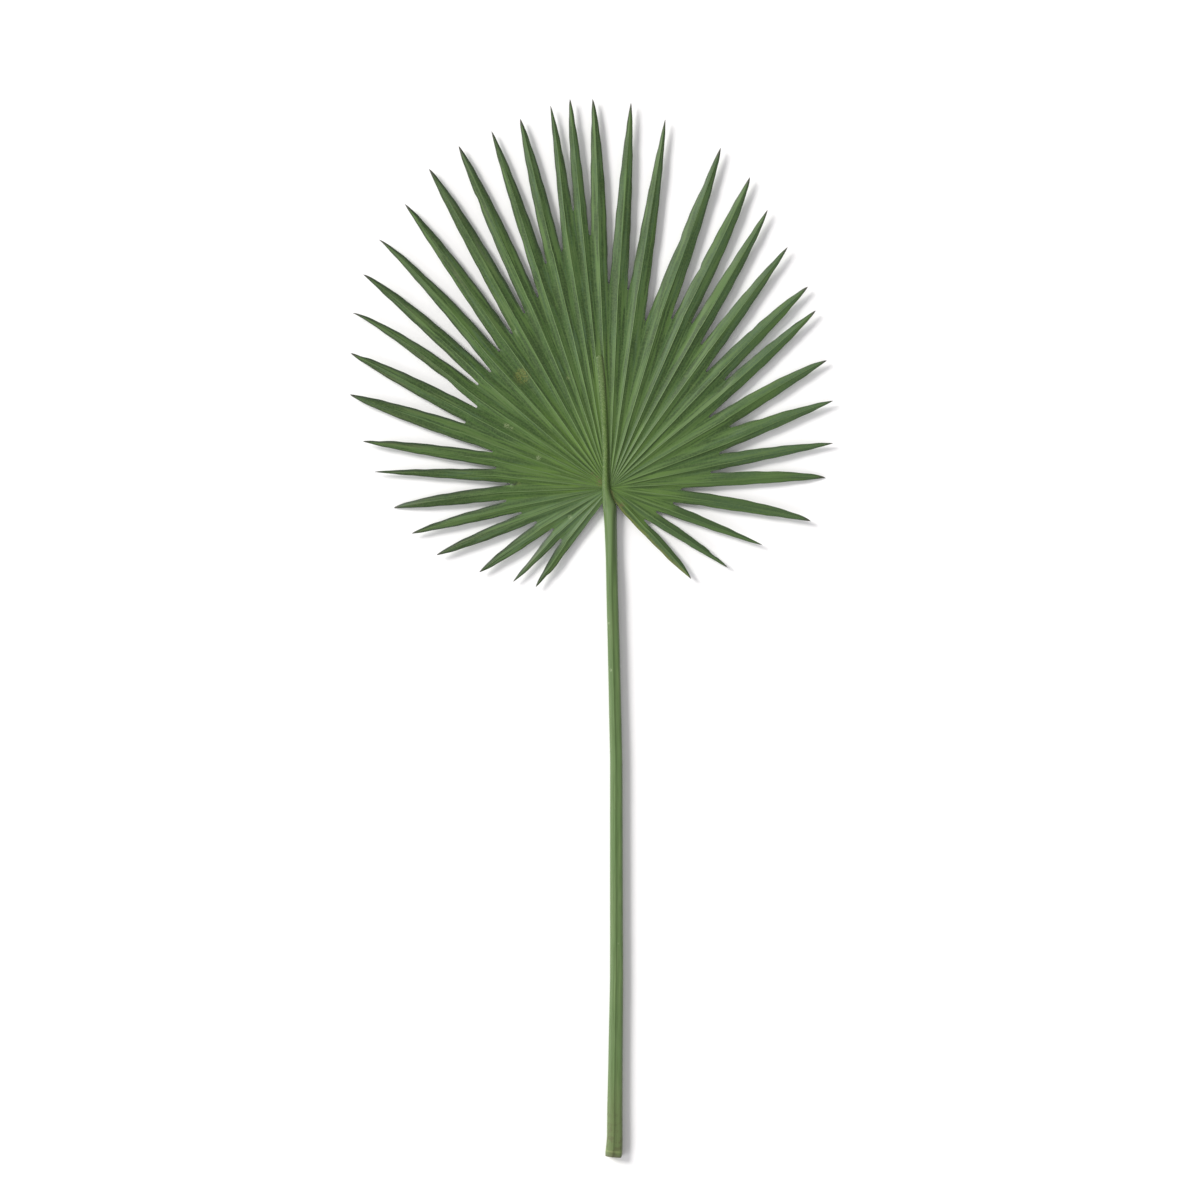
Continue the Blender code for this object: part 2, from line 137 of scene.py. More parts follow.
# Stalk and rib: distance from the hub along Y, left side, right side, underside and top
STALK = [
    (-668.6, -4.3, 12.0, 0.0, 11.6), (-665.0, -4.2, 12.9, 0.0, 11.7), (-657.0, -3.3, 13.1, 0.0, 11.6),
    (-649.0, -2.6, 13.2, 0.0, 11.4), (-620.0, -2.3, 13.0, 0.0, 11.2), (-560.0, -1.0, 13.3, 0.0, 11.0),
    (-492.0, 0.4, 13.8, 0.0, 11.0), (-380.0, 0.5, 13.4, 0.0, 11.0), (-272.0, 0.5, 13.0, 0.0, 11.0),
    (-170.0, -1.6, 10.6, 0.0, 11.0), (-110.0, -3.0, 8.8, 0.0, 11.0), (-72.0, -3.8, 8.0, 0.0, 11.1),
    (-40.0, -5.0, 7.5, 0.0, 11.3), (-27.0, -5.8, 7.5, 0.0, 11.5), (-23.0, -6.2, 7.4, 1.6, 11.6),
    (-19.0, -6.7, 7.1, 5.4, 11.7), (-16.5, -6.8, 6.2, 7.2, 11.8), (-11.0, -7.0, 3.6, 7.1, 11.7),
    (-5.0, -7.3, 1.4, 7.0, 11.3), (1.0, -7.8, 0.0, 7.0, 10.9), (18.0, -7.2, -0.9, 7.0, 10.4),
    (38.0, -7.0, -0.8, 7.0, 10.0), (50.0, -7.7, -1.2, 7.0, 9.8), (82.0, -9.2, -2.4, 7.0, 9.4),
    (109.0, -11.2, -4.0, 7.0, 9.1), (126.0, -13.2, -5.8, 7.0, 9.1), (130.0, -13.4, -6.3, 7.0, 8.9),
    (132.0, -12.4, -7.4, 7.0, 8.5), (132.9, -11.0, -8.8, 7.2, 8.0),
]
FOOT_SLANT = -0.10       # slope of the cut foot across its width
FOOT_FROM = -620.0       # the slant grows from here
FOOT_LENGTH = 48.0       # over this length, to the cut
STALK_STEP = 5.0         # spacing of the stations along the stalk, in millimetres
ROUNDED_FROM = -110.0    # the stalk's section turns into the rib's from here
ROUNDED_OVER = 90.0      # over this length
# Sections across (0 left, 1 right) and up (0 underside, 1 top). The stalk's has a ridge and is flatter to the
# right of it, the rib's is rounded and falls away to the right
SECTION = [
    (0.16, 0.0), (0.50, 0.0), (0.84, 0.0), (0.94, 0.06), (0.99, 0.20), (1.0, 0.42), (0.985, 0.63),
    (0.95, 0.78), (0.88, 0.865), (0.78, 0.90), (0.67, 0.915), (0.57, 0.935), (0.50, 0.965), (0.43, 1.0),
    (0.37, 0.99), (0.30, 0.97), (0.22, 0.94), (0.13, 0.885), (0.055, 0.78), (0.0, 0.50), (0.01, 0.20),
    (0.06, 0.06),
]
RIB_SECTION = [
    (0.16, 0.0), (0.50, 0.0), (0.84, 0.0), (0.94, 0.02), (0.99, 0.05), (1.0, 0.10), (0.99, 0.20),
    (0.965, 0.36), (0.93, 0.52), (0.88, 0.68), (0.82, 0.81), (0.75, 0.91), (0.67, 0.975), (0.59, 1.0),
    (0.50, 0.99), (0.41, 0.96), (0.31, 0.905), (0.21, 0.83), (0.12, 0.73), (0.045, 0.60), (0.0, 0.40),
    (0.04, 0.10),
]
SECTION_POINTS = 64      # points round the finished stalk
CAP_RINGS = (0.94, 0.6, 0.3)   # rings of points on its end faces, as shares of the outline

# Shades that are laid over the blade's main greens, in the order in which they are laid
BLADE = {
    "outer": (0.057, 0.106, 0.031), "grey": (0.055, 0.088, 0.054), "painted_light_points": (0.080, 0.138, 0.054),
    "lowest": (0.098, 0.168, 0.082), "weathered": (0.074, 0.082, 0.040), "painted_cool_sheen": (0.052, 0.104, 0.042),
    "band": (0.084, 0.162, 0.034), "etched": (0.026, 0.058, 0.011), "bright": (0.080, 0.139, 0.037),
    "fine": (0.092, 0.152, 0.042), "speck": (0.125, 0.175, 0.055), "crest": (0.155, 0.235, 0.080),
    "flank": (0.030, 0.060, 0.014), "rim": (0.022, 0.038, 0.014), "painted_edge_shade": (0.024, 0.042, 0.020),
    "painted_side_shade": (0.024, 0.052, 0.013), "crease": (0.022, 0.040, 0.016), "yellowed": (0.150, 0.165, 0.045),
    "underside": (0.120, 0.175, 0.080),
}
# The same for the stalk and the rib
STEM = {
    "cloud": (0.112, 0.190, 0.062), "upper": (0.082, 0.142, 0.040), "painted_bounce_light": (0.160, 0.225, 0.115),
    "line": (0.078, 0.138, 0.038), "band": (0.150, 0.225, 0.080), "rib": (0.074, 0.140, 0.018),
    "rib_end": (0.086, 0.140, 0.040), "painted_rib_edge_shade": (0.036, 0.074, 0.016),
    "pale_grain": (0.160, 0.215, 0.080), "dark_grain": (0.042, 0.078, 0.020),
    "brown_line": (0.085, 0.060, 0.030), "foot": (0.128, 0.165, 0.060), "smudge": (0.090, 0.095, 0.040),
    "pressed": (0.230, 0.270, 0.110), "dry_rim": (0.105, 0.110, 0.062), "pith": (0.330, 0.330, 0.170),
    "dark_pith": (0.230, 0.250, 0.120),
}
# Small broken marks: plan place from the hub, radius in millimetres, strength and shade
BLADE_SPOTS = [
    (-9.5, 5.5, 5.0, 0.8, (0.140, 0.095, 0.050)), (-13.0, 10.5, 2.6, 0.9, (0.105, 0.075, 0.035)),
    (-17.0, 14.5, 2.4, 0.8, (0.100, 0.080, 0.035)), (12.5, -17.0, 3.6, 0.9, (0.110, 0.080, 0.030)),
    (-87.5, 112.0, 11.0, 0.6, (0.185, 0.190, 0.040)), (-71.0, 30.2, 3.6, 0.8, (0.240, 0.300, 0.150)),
    (-41.5, 110.0, 2.6, 0.6, (0.230, 0.280, 0.110)), (-39.5, -29.0, 3.4, 0.6, (0.240, 0.310, 0.160)),
    (-102.9, 62.2, 3.6, 0.8, (0.250, 0.300, 0.150)), (-98.0, 59.5, 3.0, 0.6, (0.220, 0.280, 0.130)),
    (-95.0, 4.4, 4.2, 0.9, (0.028, 0.040, 0.014)), (-90.5, 4.0, 3.0, 0.5, (0.130, 0.160, 0.040)),
]
STEM_SPOTS = [
    (-0.5, -135.0, 1.8, 0.55, (0.330, 0.400, 0.230)), (1.5, -182.0, 2.0, 0.55, (0.330, 0.400, 0.230)),
    (5.5, -320.0, 1.3, 0.4, (0.300, 0.360, 0.200)), (9.0, -455.0, 1.5, 0.4, (0.300, 0.360, 0.200)),
]
SPOT_NOISE = 900.0       # scale of the noise that breaks up the marks and grains the rib

# The stage, in metres
FLOOR_HALF = 4.0
FLOOR_LEVEL = -0.0002
VIEW_CENTRE = (0.00855, 0.02814)
VIEW_LEVEL = 0.006       # level at which the picture is VIEW_WIDTH across
VIEW_WIDTH = 1.2


class PalmLeafSettings(bpy.types.PropertyGroup):
    """Sizes and colours of the leaf that a user would change."""

    blade_thick: FloatProperty(
        name="Blade thickness", description="Thickness of the sheet along its folds",
        default=0.0007, min=0.0002, unit="LENGTH")
    ring_rise: FloatProperty(
        name="Fold slope", description="Crest height of a fold as a share of its half width, near the hub",
        default=0.215, min=0.0, subtype="FACTOR")
    free_rise: FloatProperty(
        name="Finger slope", description="The same for the free fingers", default=0.27, min=0.0,
        subtype="FACTOR")
    ripple: FloatProperty(
        name="Edge ripple", description="Height of the soft waves along the free edges",
        default=0.0005, min=0.0, unit="LENGTH")
    cord_width: FloatProperty(
        name="Midrib width", description="Width of the fine raised midrib on each crest, at its root",
        default=0.0009, min=0.0, unit="LENGTH")
    seed: IntProperty(
        name="Seed", description="Picks the ripples, streaks and small marks", default=7, min=0)
    leaf_green: FloatVectorProperty(
        name="Leaf green", description="Main colour of the blade", subtype="COLOR",
        default=(0.0385, 0.091, 0.0138), min=0.0, max=1.0)
    young_green: FloatVectorProperty(
        name="Young green", description="Yellower green round the hub and along the rib", subtype="COLOR",
        default=(0.132, 0.236, 0.026), min=0.0, max=1.0)
    blue_green: FloatVectorProperty(
        name="Blue green", description="Cool patches on the outer blade", subtype="COLOR",
        default=(0.053, 0.104, 0.046), min=0.0, max=1.0)
    tip_brown: FloatVectorProperty(
        name="Tip brown", description="Dry grey brown of the points", subtype="COLOR",
        default=(0.060, 0.058, 0.045), min=0.0, max=1.0)
    stalk_green: FloatVectorProperty(
        name="Stalk green", description="Main colour of the stalk and rib", subtype="COLOR",
        default=(0.126, 0.199, 0.071), min=0.0, max=1.0)
    floor_white: FloatProperty(
        name="Floor white", description="Lightness of the plain floor", default=0.93, min=0.0, max=1.0)
    sun_strength: FloatProperty(
        name="Key light", description="Strength of the soft key light", default=3.0, min=0.0)
    side_strength: FloatProperty(
        name="Side light", description="Strength of the low soft light from the left", default=1.65, min=0.0)
    sky_strength: FloatProperty(
        name="Surrounding light", description="Strength of the even light from all round",
        default=0.50, min=0.0)


def plan(bearing, reach):
    """Plan point for a bearing in degrees and a distance from the hub."""
    turn = np.radians(bearing)
    return np.stack([reach * np.sin(turn), reach * np.cos(turn)], axis=-1)


def smooth(value):
    """Ease from 0 to 1 as the value goes from 0 to 1, and stay there outside."""
    value = np.clip(value, 0.0, 1.0)
    return value * value * (3.0 - 2.0 * value)


def hub_place():
    """Where the hub lies in the frame, in millimetres, from the blade's box and its farthest tips."""
    tips = np.array([plan(row[0], row[1]) for row in FINGERS])
    high = np.array(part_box("leaf_blade")[1])[:2] / MM
    return high - tips.max(axis=0)


def free_edge(rows, tip, reach):
    """Bearing of an outer free edge at given distances from the hub."""
    marks = rows + [(tip[0], tip[1])]
    return np.interp(reach, [m[1] for m in marks], [m[0] for m in marks])


def bulge(along):
    """Shape of a finger's edge between its root (0) and tip (1), as a share of its bulge half way."""
    half = 0.75 ** TAPER_POWER - 0.5
    return (np.clip(1.0 - along * along, 0.0, 1.0) ** TAPER_POWER - (1.0 - along)) / half


def ring_shares():
    """Stations of the undivided part, as shares of the way from the hub to the root of a finger."""
    return np.linspace(0.0, 1.0, RING_COUNT) ** RING_CROWDING


def free_shares():
    """Stations of the free part, closer together near its root and its tip."""
    even = np.linspace(0.0, 1.0, FREE_COUNT + 1)[1:]
    return 0.5 * even + 0.5 * (1.0 - np.cos(np.pi * even)) / 2


def edge_line(root, tip, middle, side, outer):
    """Plan points of one edge of a finger, hub to tip; side is -1 on the left, 1 on the right."""
    ring = ring_shares() * root[1]
    round_turns = np.linspace(0.0, 90.0, ROUND_COUNT + 1)[1:]
    free = free_shares()
    if outer:
        bearings = free_edge(outer, tip, np.maximum(ring, outer[0][1]))
        rest = root[1] + np.concatenate([
            CLEFT_ROUND * round_turns / 90.0, CLEFT_ROUND + free * (tip[1] - root[1] - CLEFT_ROUND)])
        return np.concatenate([plan(bearings, ring), plan(free_edge(outer, tip, rest), rest)])
    points = [plan(np.full_like(ring, root[0]), ring)]
    turns = np.radians(round_turns)
    shift = np.degrees(CLEFT_ROUND * np.sin(turns) / root[1]) * side
    points.append(plan(root[0] - shift, root[1] + CLEFT_ROUND * (1.0 - np.cos(turns))))
    start = points[-1][-1]
    end = plan(tip[0], tip[1])
    run = end - start
    across = np.array((run[1], -run[0])) / math.hypot(*run) * side
    half = plan(middle, (root[1] + tip[1]) / 2)
    swell = float(np.dot(half - (start + end) / 2, across))
    points.append(start + run * free[:, None] + across * (swell * bulge(free))[:, None])
    points[-1][-1] = end
    return np.concatenate(points)


def polar(points):
    """Distances from the hub and bearings of plan points."""
    bearings = np.degrees(np.arctan2(points[:, 0], points[:, 1]))
    bearings[0] = bearings[1]
    return np.hypot(points[:, 0], points[:, 1]), bearings


def step_in(index, side, reaches):
    """How far an edge steps in at given distances from the hub: named steps and a slight wander."""
    inward = np.zeros_like(reaches)
    for finger, step_side, place, depth, length in EDGE_STEPS:
        if finger == index and step_side == side:
            inward += depth * np.exp(-((reaches - place) / (0.5 * length)) ** 2)
    phase = 1.7 * index + 0.9 * side
    wander = np.sin(reaches / 5.3 + phase) + 0.7 * np.sin(reaches / 2.9 + 2.3 * phase)
    return inward + EDGE_WOBBLE * wander


def finger_grid(index):
    """Grid of one finger from the hub to the tip: plan points and the measures that its folds follow."""
    tip = FINGERS[index][:2]
    tip_height, left_middle, crest_bearing, right_middle = FINGERS[index][2:]
    first = index == 0
    last = index == len(FINGERS) - 1
    left = OUTER_ROOTS[0] if first else CLEFTS[index - 1]
    right = OUTER_ROOTS[1] if last else CLEFTS[index]
    lines = (edge_line(left, tip, left_middle, -1, FIRST_EDGE if first else None),
             edge_line(right, tip, right_middle, 1, LAST_EDGE if last else None))
    spots = [polar(line) for line in lines]
    root = (left[1] + right[1]) / 2
    free_length = tip[1] - root
    steps = np.concatenate([CLEFT_ROUND * np.linspace(0.0, 1.0, ROUND_COUNT + 1)[1:],
                            CLEFT_ROUND + free_shares() * (free_length - CLEFT_ROUND)])
    reaches = np.concatenate([ring_shares() * root, root + steps])
    low = np.interp(reaches, *spots[0])
    high = np.interp(reaches, *spots[1])
    low_root, high_root = (np.interp(root, *spot) for spot in spots)
    share = (crest_bearing - low_root) / (high_root - low_root)
    part = share + (0.5 - share) * smooth((reaches - root) / free_length)
    bearings = np.where(reaches <= root, crest_bearing, low + (high - low) * part)
    crest = plan(bearings, reaches)
    crest[-1] = plan(*tip)
    count = len(reaches)
    free = np.arange(count) >= RING_COUNT
    drawn_in = np.clip((np.arange(count) - RING_COUNT + 1) / ROUND_COUNT, 0.0, 1.0)
    drawn_in = CLEFT_ROUND * np.sin(0.5 * np.pi * drawn_in) * (1.0 - smooth((reaches - root) / ROUND_FADE))
    out = np.where(free, np.clip((reaches - root) / free_length, 0.0, 1.0), 0.0)

    sides = []
    for line, (edge_reaches, edge_bearings), cleft, side in zip(lines, spots, (left, right), (-1, 1)):
        half = np.radians(np.abs(bearings - edge_bearings)) * (edge_reaches + reaches) / 2
        half[0] = 0.0
        room = smooth(out / CALM_ROOT) * smooth((1.0 - out) / CALM_TIP)
        room = room * np.minimum(1.0, half / CALM_WIDTH)
        inward = step_in(index, side, edge_reaches) * room
        moved = line + (crest - line) * (inward / np.maximum(half, 0.5))[:, None]
        outer = first and side < 0 or last and side > 0
        fold = half if outer else half + drawn_in
        sides.append({"edge": moved, "half": half, "sink": edge_reaches / cleft[1], "reach": edge_reaches,
                      "fold": fold, "used": half / np.maximum(fold, 0.01)})

    middle_half = (sides[0]["half"] + sides[1]["half"]) / 2
    middle_fold = (sides[0]["fold"] + sides[1]["fold"]) / 2
    middle_sink = (sides[0]["sink"] + sides[1]["sink"]) / 2
    shares = [-a for a in COLUMNS[:0:-1]] + COLUMNS
    grid = {name: np.zeros((count, len(shares))) for name in MEASURES}
    grid["plan"] = np.zeros((count, len(shares), 2))
    for column, signed in enumerate(shares):
        side = sides[0] if signed < 0 else sides[1]
        a = abs(signed)
        grid["plan"][:, column] = crest + (side["edge"] - crest) * a
        grid["across"][:, column] = signed
        grid["half"][:, column] = middle_half + (side["half"] - middle_half) * min(1.0, 2.0 * a)
        grid["fold"][:, column] = middle_fold + (side["fold"] - middle_fold) * min(1.0, 2.0 * a)
        grid["fall"][:, column] = a * side["used"]
        grid["sink"][:, column] = middle_sink + (side["sink"] - middle_sink) * a
        grid["out"][:, column] = out
        grid["tip_height"][:, column] = tip_height
        grid["reach"][:, column] = reaches + (side["reach"] - reaches) * a
        grid["finger"][:, column] = index
        grid["right"][:, column] = 1.0 if signed > 0 else 0.0
    for column, cleft in ((0, index - 1), (-1, index)):
        if cleft in CREASES:
            start = CREASES[cleft]
            inside = smooth((grid["reach"][:, column] - start) / CREASE_FADE)
            grid["crease"][:, column] = np.where(free, 0.0, inside)
    return grid


def rib_gap(points):
    """Distance in plan of points from the middle line of the rib, in millimetres."""
    rows = np.array([row for row in STALK if row[0] >= RIB_FROM])
    middle = np.interp(points[:, 1], rows[:, 0], (rows[:, 1] + rows[:, 2]) / 2)
    past = np.maximum(points[:, 1] - rows[-1, 0], 0.0)
    return np.hypot(points[:, 0] - middle, past)


def carry(mesh, measures):
    """Store numbers at the points of a mesh, as attributes."""
    for name, value in measures.items():
        layer = mesh.attributes.new(name, "FLOAT", "POINT")
        layer.data.foreach_set("value", np.array(value, np.float32))


def flat_pattern(hub):
    """Flat closed pattern of the whole blade: two sheets and a rim, with the measures as attributes."""
    points = []
    measures = {name: [] for name in MEASURES}
    index_of = {}
    faces = []
    sheet_uv = []
    for index in range(len(FINGERS)):
        grid = finger_grid(index)
        rows, columns = grid["across"].shape
        numbers = np.zeros((rows, columns), int)
        for k in range(rows):
            for j in range(columns):
                x, y = grid["plan"][k, j]
                key = (round(float(x), 3), round(float(y), 3))
                if key not in index_of:
                    index_of[key] = len(points)
                    points.append((x, y))
                    for name in MEASURES:
                        measures[name].append(abs(grid[name][k, j]))
                numbers[k, j] = index_of[key]
        for k in range(rows - 1):
            for j in range(columns - 1):
                corners = [(k, j), (k, j + 1), (k + 1, j + 1), (k + 1, j)]
                face = []
                uv = []
                for corner in corners:
                    if numbers[corner] not in face:
                        face.append(int(numbers[corner]))
                        wide = grid["across"][corner] * grid["half"][corner]
                        uv.append((wide / UV_WIDTH + 0.5, grid["reach"][corner] / UV_LENGTH))
                if len(face) > 2:
                    faces.append(face)
                    sheet_uv.append(uv)
    count = len(points)
    flat = np.array(points)
    gap = rib_gap(flat)
    sides = {side for face in faces for side in zip(face, face[1:] + face[:1])}
    rim = [side for side in sides if side[::-1] not in sides]
    rim.sort()
    solid = list(faces) + [[n + count for n in reversed(face)] for face in faces]
    solid_uv = sheet_uv + [list(reversed(uv)) for uv in sheet_uv]
    for a, b in rim:
        solid.append([b, a, a + count, b + count])
        solid_uv.append([(0.5, 0.5)] * 4)
    verts = np.zeros((2 * count, 3))
    verts[:, :2] = (np.concatenate([flat, flat]) + hub) * MM
    mesh = bpy.data.meshes.new("flat_pattern")
    mesh.from_pydata(verts.tolist(), [], solid)
    values = {name: np.tile(np.array(measures[name]), 2) for name in MEASURES}
    values["rib_gap"] = np.tile(gap, 2)
    values["face_side"] = np.repeat([1.0, -1.0], count)
    carry(mesh, values)
    layer = mesh.uv_layers.new(name="finger_map")
    layer.data.foreach_set("uv", np.array([c for uv in solid_uv for c in uv], np.float32).ravel())
    return mesh


class NodeSheet:
    """Adds nodes to one tree and joins them, for geometry and for materials."""

    def __init__(self, tree):
        self.tree = tree

    def add(self, kind, settings=None, **inputs):
        """Add a node; inputs are given by socket name with underscores, as values or sockets."""
        node = self.tree.nodes.new(kind)
        for name, value in (settings or {}).items():
            setattr(node, name, value)
        for name, value in inputs.items():
            self.feed(node.inputs[name.replace("_", " ")], value)
        return node

    def feed(self, socket, value):
        """Join a socket to an input, or set the input to a value."""
        if isinstance(value, bpy.types.NodeSocket):
            self.tree.links.new(value, socket)
        elif isinstance(value, (tuple, list)) and len(value) == 3 and socket.type == "RGBA":
            socket.default_value = (*value, 1.0)
        else:
            socket.default_value = value

    def two_way(self, kind, settings, first, second):
        """Add a node whose first two inputs are given in order."""
        node = self.add(kind, settings)
        self.feed(node.inputs[0], first)
        self.feed(node.inputs[1], second)
        return node.outputs

    def maths(self, operation, *values):
        """Add one step of arithmetic."""
        node = self.add("ShaderNodeMath", {"operation": operation})
        for socket, value in zip(node.inputs, values):
            self.feed(socket, value)
        return node.outputs[0]

    def times(self, first, *others):
        """Multiply numbers."""
        for other in others:
            first = self.maths("MULTIPLY", first, other)
        return first

    def minus(self, first, second):
        """Take one number from another."""
        return self.maths("SUBTRACT", first, second)

    def scaled(self, value, by, plus):
        """Multiply a number by another and add a third."""
        return self.maths("MULTIPLY_ADD", value, by, plus)

    def vector(self, operation, first, second):
        """Add, multiply or measure between two vectors."""
        outputs = self.two_way("ShaderNodeVectorMath", {"operation": operation}, first, second)
        return outputs["Value" if operation == "DISTANCE" else "Vector"]

    def point(self, x=0.0, y=0.0, z=0.0):
        """Join three numbers in a vector."""
        return self.add("ShaderNodeCombineXYZ", None, X=x, Y=y, Z=z).outputs[0]

    def compare(self, operation, value, limit):
        """Choose the places where a number is past a limit."""
        settings = {"data_type": "FLOAT", "operation": operation}
        return self.two_way("FunctionNodeCompare", settings, value, limit)[0]

    def spread(self, value, low, high, to_low=0.0, to_high=1.0, soft=True):
        """Map a value from one range to another, with clamped ends."""
        node = self.add("ShaderNodeMapRange", {"interpolation_type": "SMOOTHSTEP" if soft else "LINEAR"})
        for name, given in (("Value", value), ("From Min", low), ("From Max", high),
                            ("To Min", to_low), ("To Max", to_high)):
            self.feed(node.inputs[name], given)
        return node.outputs["Result"]

    def mix(self, factor, first, second, blend="MIX"):
        """Mix two colours."""
        node = self.add("ShaderNodeMix", {"data_type": "RGBA", "blend_type": blend}, Factor=factor)
        for name, given in (("A", first), ("B", second)):
            socket = [s for s in node.inputs if s.name == name and s.type == "RGBA"][0]
            self.feed(socket, given)
        return [s for s in node.outputs if s.type == "RGBA"][0]

    def named(self, name):
        """Read a number that the pattern carries at each point."""
        if self.tree.bl_idname == "GeometryNodeTree":
            return self.add("GeometryNodeInputNamedAttribute", {"data_type": "FLOAT"},
                            Name=name).outputs["Attribute"]
        return self.add("ShaderNodeAttribute", {"attribute_name": name}).outputs["Fac"]

    def noise(self, vector, scale, detail=2.0, rough=0.5):
        """Smooth noise at a place."""
        return self.add("ShaderNodeTexNoise", None, Vector=vector, Scale=scale, Detail=detail,
                        Roughness=rough).outputs["Fac"]

    def dress(self, geometry, given, result):
        """End a geometry tree: make its copies real and give them the material."""
        whole = self.add("GeometryNodeRealizeInstances", None, Geometry=geometry)
        dressed = self.add("GeometryNodeSetMaterial", None, Geometry=whole.outputs[0],
                           Material=given["Material"])
        self.feed(result["Geometry"], dressed.outputs[0])
        return self.tree


def new_tree(name, inputs, outputs=(), kind="GeometryNodeTree"):
    """Make a tree from its inputs, as defaults or socket types, and give back its sheet and both ends."""
    tree = bpy.data.node_groups.new(name, kind)
    if kind == "GeometryNodeTree":
        inputs = {"Geometry": "NodeSocketGeometry", "Material": "NodeSocketMaterial", **inputs}
        tree.interface.new_socket("Geometry", in_out="OUTPUT", socket_type="NodeSocketGeometry")
    for label, default in inputs.items():
        typed = isinstance(default, str)
        number = "NodeSocketInt" if isinstance(default, int) else "NodeSocketFloat"
        socket = tree.interface.new_socket(label, in_out="INPUT", socket_type=default if typed else number)
        if not typed:
            socket.default_value = default
    for label in outputs:
        tree.interface.new_socket(label, in_out="OUTPUT", socket_type="NodeSocketFloat")
    ends = [tree.nodes.new("NodeGroupInput").outputs, tree.nodes.new("NodeGroupOutput").inputs]
    return [NodeSheet(tree)] + ends


def shaped(name, mesh, tree, values):
    """Run a geometry tree over a mesh and keep the result as a plain mesh object of the given name."""
    carrier = bpy.data.objects.new(name + "_pattern", mesh)
    bpy.context.scene.collection.objects.link(carrier)
    modifier = carrier.modifiers.new("shape", "NODES")
    modifier.node_group = tree
    for item in tree.interface.items_tree:
        if item.item_type == "SOCKET" and item.in_out == "INPUT" and item.name in values:
            modifier[item.identifier] = values[item.name]
    graph = bpy.context.evaluated_depsgraph_get()
    made = bpy.data.meshes.new_from_object(carrier.evaluated_get(graph), preserve_all_data_layers=True,
                                           depsgraph=graph)
    carrier.modifiers.remove(modifier)
    bpy.data.objects.remove(carrier)
    made.name = name
    finished = bpy.data.objects.new(name, made)
    bpy.context.scene.collection.objects.link(finished)
    return finished


def pleat_tree():
    """Geometry tree that folds the flat pattern, sinks it away from the hub and ripples its edges."""
    sheet, given, result = new_tree("fold_pleats", {
        "Thickness": 0.0007, "Fold slope": 0.24, "Finger slope": 0.30, "Left flank": 0.45,
        "Left valley": 0.80, "Right flank": 0.60, "Right valley": 1.05, "Free flank": 0.98,
        "Free edge": 1.02, "Free blend": 0.2, "Hub level": 0.0070, "Valley level": 0.0058,
        "Tip curve": 1.6, "Hook curve": 5.0, "Hook below": 3.0, "Flat from rib": 2.5,
        "Folded from rib": 6.0, "Flat from hub": 1.5, "Folded from hub": 32.0, "Hub slope": 0.30,
        "Hub slope reach": 90.0, "Ripple height": 0.0005, "Ripple scale": 34.0, "Seed": 7.0,
    })
    across, out, reach, right, fall, tip_height = [sheet.named(name) for name in (
        "across", "out", "reach", "right", "fall", "tip_height")]

    # Level of the valleys: down from the hub, then to the height of each tip
    sunk = sheet.spread(sheet.named("sink"), 0.0, 1.0)
    ground = sheet.scaled(sunk, sheet.minus(given["Valley level"], given["Hub level"]), given["Hub level"])
    tip_lift = sheet.minus(sheet.times(tip_height, MM), given["Valley level"])
    hooked = sheet.maths("LESS_THAN", tip_height, given["Hook below"])
    curve = sheet.spread(hooked, 0.0, 1.0, given["Tip curve"], given["Hook curve"], soft=False)
    ground = sheet.scaled(sheet.maths("POWER", out, curve), tip_lift, ground)

    # Height of the crests over them
    slope = sheet.spread(reach, 15.0, given["Hub slope reach"], given["Hub slope"], given["Fold slope"])
    slope = sheet.spread(out, 0.0, given["Free blend"], slope, given["Finger slope"])
    rise = sheet.times(sheet.named("fold"), MM, slope)

    # Straight flanks, eased into the valleys
    start = sheet.spread(right, 0.0, 1.0, given["Left flank"], given["Right flank"], soft=False)
    end = sheet.spread(right, 0.0, 1.0, given["Left valley"], given["Right valley"], soft=False)
    start = sheet.spread(out, 0.0, given["Free blend"], start, given["Free flank"])
    end = sheet.spread(out, 0.0, given["Free blend"], end, given["Free edge"])
    width = sheet.minus(end, start)
    part = sheet.spread(fall, start, end, soft=False)
    eased = sheet.scaled(sheet.maths("POWER", part, 4.0), 0.5,
                         sheet.minus(part, sheet.maths("POWER", part, 3.0)))
    fallen = sheet.scaled(width, eased, sheet.maths("MINIMUM", fall, start))
    share = sheet.minus(1.0, sheet.maths("DIVIDE", fallen, sheet.scaled(width, 0.5, start)))
    folded = sheet.scaled(rise, share, ground)

    # Flat under the rib and at the hub
    near = sheet.spread(sheet.named("rib_gap"), given["Flat from rib"], given["Folded from rib"])
    hub = sheet.spread(reach, given["Flat from hub"], given["Folded from hub"])
    level = sheet.scaled(sheet.minus(folded, given["Hub level"]), sheet.times(near, hub), given["Hub level"])

    # Ripples of the free edges, then the sheet's thickness
    place = sheet.add("GeometryNodeInputPosition").outputs[0]
    spot = sheet.vector("ADD", place, sheet.point(given["Seed"], sheet.named("finger")))
    wave = sheet.spread(sheet.noise(spot, given["Ripple scale"]), 0.25, 0.75, -1.0, 1.0, soft=False)
    strength = sheet.times(sheet.maths("POWER", across, 2.0), given["Ripple height"],
                           sheet.spread(out, 0.0, 0.2), sheet.spread(out, 1.0, 0.8))
    level = sheet.maths("ADD", level, sheet.times(wave, strength))
    thick = sheet.times(given["Thickness"], sheet.spread(across, 0.6, 1.0, 0.5, 0.34))
    level = sheet.scaled(sheet.named("face_side"), thick, level)
    apart = sheet.add("ShaderNodeSeparateXYZ", None, Vector=place).outputs
    moved = sheet.add("GeometryNodeSetPosition", None, Geometry=given["Geometry"],
                      Position=sheet.point(apart["X"], apart["Y"], level))
    return sheet.dress(moved.outputs[0], given, result)


